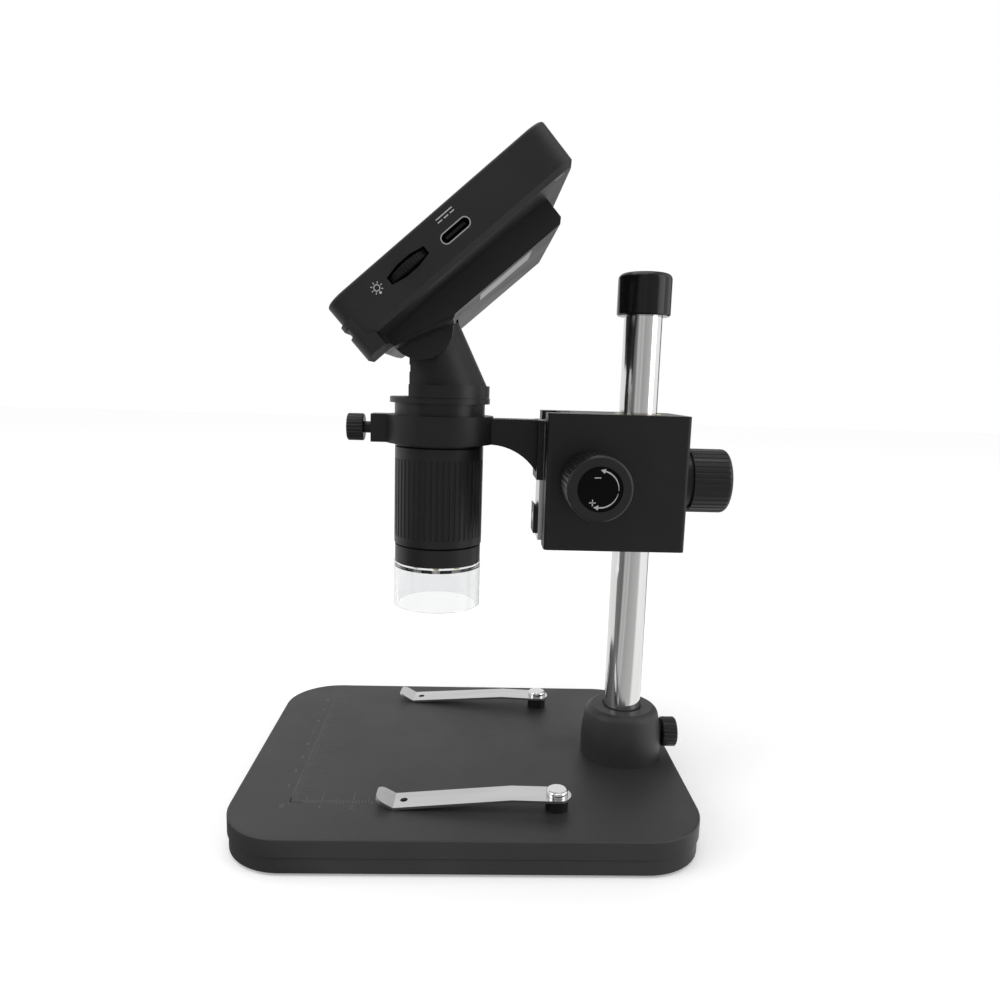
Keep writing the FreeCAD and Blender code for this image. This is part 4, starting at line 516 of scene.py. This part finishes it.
BULGE_DEPTH = 5.5
LABEL_U, LABEL_Y, LABEL_HIGH, LABEL_WIDE, LABEL_CORNER = 30.0, -22.5, 20.0, 17.0, 0.8
label_face = frame_at(display_at(LABEL_U, LABEL_Y, -BULGE_DEPTH), UP, (0, -1, 0))
label = Strokes(low=-0.04, high=0.08)
label.prism(rectangle(LABEL_HIGH, LABEL_WIDE, LABEL_CORNER))
label.make("blank_label", "label", "display", label_face)


# Floor, lights and camera

# Levels of the studio that metal reflects, by the angle around the object in degrees.
STUDIO = [(-180, 0.85), (-177, 0.2), (-132, 0.16), (-122, 0.55), (-104, 0.45), (-97, 0.6), (-88, 0.4),
          (-36, 0.55), (-27, 1.0), (33, 1.0), (42, 0.15), (60, 0.2), (70, 0.9), (180, 0.85)]


def studio_color(nodes, links, direction):
    """The socket with the studio's level for a direction or place around the object."""
    split = nodes.new("ShaderNodeSeparateXYZ")
    links.new(direction, split.inputs[0])
    turn = nodes.new("ShaderNodeMath")
    turn.operation = "ARCTAN2"
    links.new(split.outputs["Y"], turn.inputs[0])
    links.new(split.outputs["X"], turn.inputs[1])
    spread = ranged(nodes, links, turn.outputs[0], (-math.pi, math.pi))
    bands = nodes.new("ShaderNodeValToRGB")
    ramp = bands.color_ramp
    while len(ramp.elements) < len(STUDIO):
        ramp.elements.new(0.5)
    for i, (angle, level) in enumerate(STUDIO):
        ramp.elements[i].position = (angle + 180) / 360
    for i, (angle, level) in enumerate(STUDIO):
        ramp.elements[i].color = (level, level, level, 1)
    links.new(spread, bands.inputs[0])
    return bands.outputs[0]


def ray_mix(nodes, links, rays, other, chosen):
    """The shader chosen on the named kinds of ray, and the other one elsewhere."""
    path = nodes.new("ShaderNodeLightPath")
    seen = path.outputs[rays[0]]
    for ray in rays[1:]:
        either = nodes.new("ShaderNodeMath")
        either.operation = "MAXIMUM"
        links.new(seen, either.inputs[0])
        links.new(path.outputs[ray], either.inputs[1])
        seen = either.outputs[0]
    mix = nodes.new("ShaderNodeMixShader")
    links.new(seen, mix.inputs[0])
    links.new(other, mix.inputs[1])
    links.new(chosen, mix.inputs[2])
    return mix.outputs[0]


CLEAR_RAYS = ("Is Camera Ray", "Is Transmission Ray")
MIRROR_RAYS = ("Is Glossy Ray",)
NEAR, FAR = 0.15, 1.2
bpy.ops.mesh.primitive_plane_add(size=6.0, location=(0, 0, 0))
floor = bpy.context.object
floor.name = "floor"
mat, nodes, links = tree_of("floor_white")
out = nodes.new("ShaderNodeOutputMaterial")
matte = node(nodes, "ShaderNodeBsdfDiffuse", Color=(0.8, 0.8, 0.8, 1))
glow = node(nodes, "ShaderNodeEmission", Color=(1, 1, 1, 1))
both = nodes.new("ShaderNodeAddShader")
links.new(matte.outputs[0], both.inputs[0])
links.new(glow.outputs[0], both.inputs[1])
studio = node(nodes, "ShaderNodeEmission", Strength=1.0)
place = nodes.new("ShaderNodeNewGeometry")
away = nodes.new("ShaderNodeVectorMath")
away.operation = "LENGTH"
links.new(place.outputs["Position"], away.inputs[0])
# Far from the lamps the floor glows more, so that it meets the white of the world without an edge.
lift = ranged(nodes, links, away.outputs["Value"], (NEAR, FAR), (0.3, 0.56))
links.new(lift, glow.inputs["Strength"])
links.new(studio_color(nodes, links, place.outputs["Position"]), studio.inputs["Color"])
mirrored = ray_mix(nodes, links, MIRROR_RAYS, matte.outputs[0], studio.outputs[0])
links.new(ray_mix(nodes, links, CLEAR_RAYS, mirrored, both.outputs[0]), out.inputs[0])
floor.data.materials.append(mat)

world = bpy.data.worlds.new("studio")
bpy.context.scene.world = world
world.use_nodes = True
nodes, links = world.node_tree.nodes, world.node_tree.links
nodes.clear()
out = nodes.new("ShaderNodeOutputWorld")
soft = node(nodes, "ShaderNodeBackground", Color=(1, 1, 1, 1), Strength=0.52)
white = node(nodes, "ShaderNodeBackground", Color=(1, 1, 1, 1), Strength=1.0)
studio = node(nodes, "ShaderNodeBackground", Strength=1.0)
where = nodes.new("ShaderNodeTexCoord")
links.new(studio_color(nodes, links, where.outputs["Generated"]), studio.inputs["Color"])
mirrored = ray_mix(nodes, links, MIRROR_RAYS, soft.outputs[0], studio.outputs[0])
links.new(ray_mix(nodes, links, CLEAR_RAYS, mirrored, white.outputs[0]), out.inputs[0])


def softbox(name, at, target, size, power):
    light = bpy.data.lights.new(name, "AREA")
    light.shape = "RECTANGLE"
    light.size, light.size_y = size
    light.energy = power
    item = bpy.data.objects.new(name, light)
    bpy.context.scene.collection.objects.link(item)
    item.location = at
    item.rotation_euler = (Vector(target) - Vector(at)).to_track_quat("-Z", "Y").to_euler()


MIDDLE = (0, 0, 0.1)
softbox("softbox_top", (-0.1, -0.1, 0.9), MIDDLE, (0.8, 0.8), 3.8)
softbox("softbox_left", (-0.8, -0.3, 0.5), MIDDLE, (0.5, 0.7), 2.4)
softbox("softbox_right", (0.8, -0.35, 0.4), MIDDLE, (0.5, 0.7), 1.8)

EYE = Vector((-1.018, -268.51, 145.234)) * MM
SENSOR = 36
FOCAL = 0.77103
YAW, DOWN, ROLL = (math.radians(a) for a in (1.964, 8.786, -1.616))
level_ahead = Vector((math.sin(YAW), math.cos(YAW), 0))
level_right = Vector((math.cos(YAW), -math.sin(YAW), 0))
up = Vector((0, 0, 1))
ahead = math.cos(DOWN) * level_ahead - math.sin(DOWN) * up
down = -math.sin(DOWN) * level_ahead - math.cos(DOWN) * up
right = math.cos(ROLL) * level_right + math.sin(ROLL) * down
below = -math.sin(ROLL) * level_right + math.cos(ROLL) * down
camera = bpy.data.cameras.new("camera")
camera.sensor_width = SENSOR
camera.lens = SENSOR * FOCAL
camera.shift_x, camera.shift_y = 0.00421, 0.0042
camera.clip_start = 0.01
holder = bpy.data.objects.new("camera", camera)
bpy.context.scene.collection.objects.link(holder)
turned = Matrix((right, -below, -ahead)).transposed().to_4x4()
holder.matrix_world = Matrix.Translation(EYE) @ turned
bpy.context.scene.camera = holder
bpy.context.scene.view_settings.view_transform = "Standard"
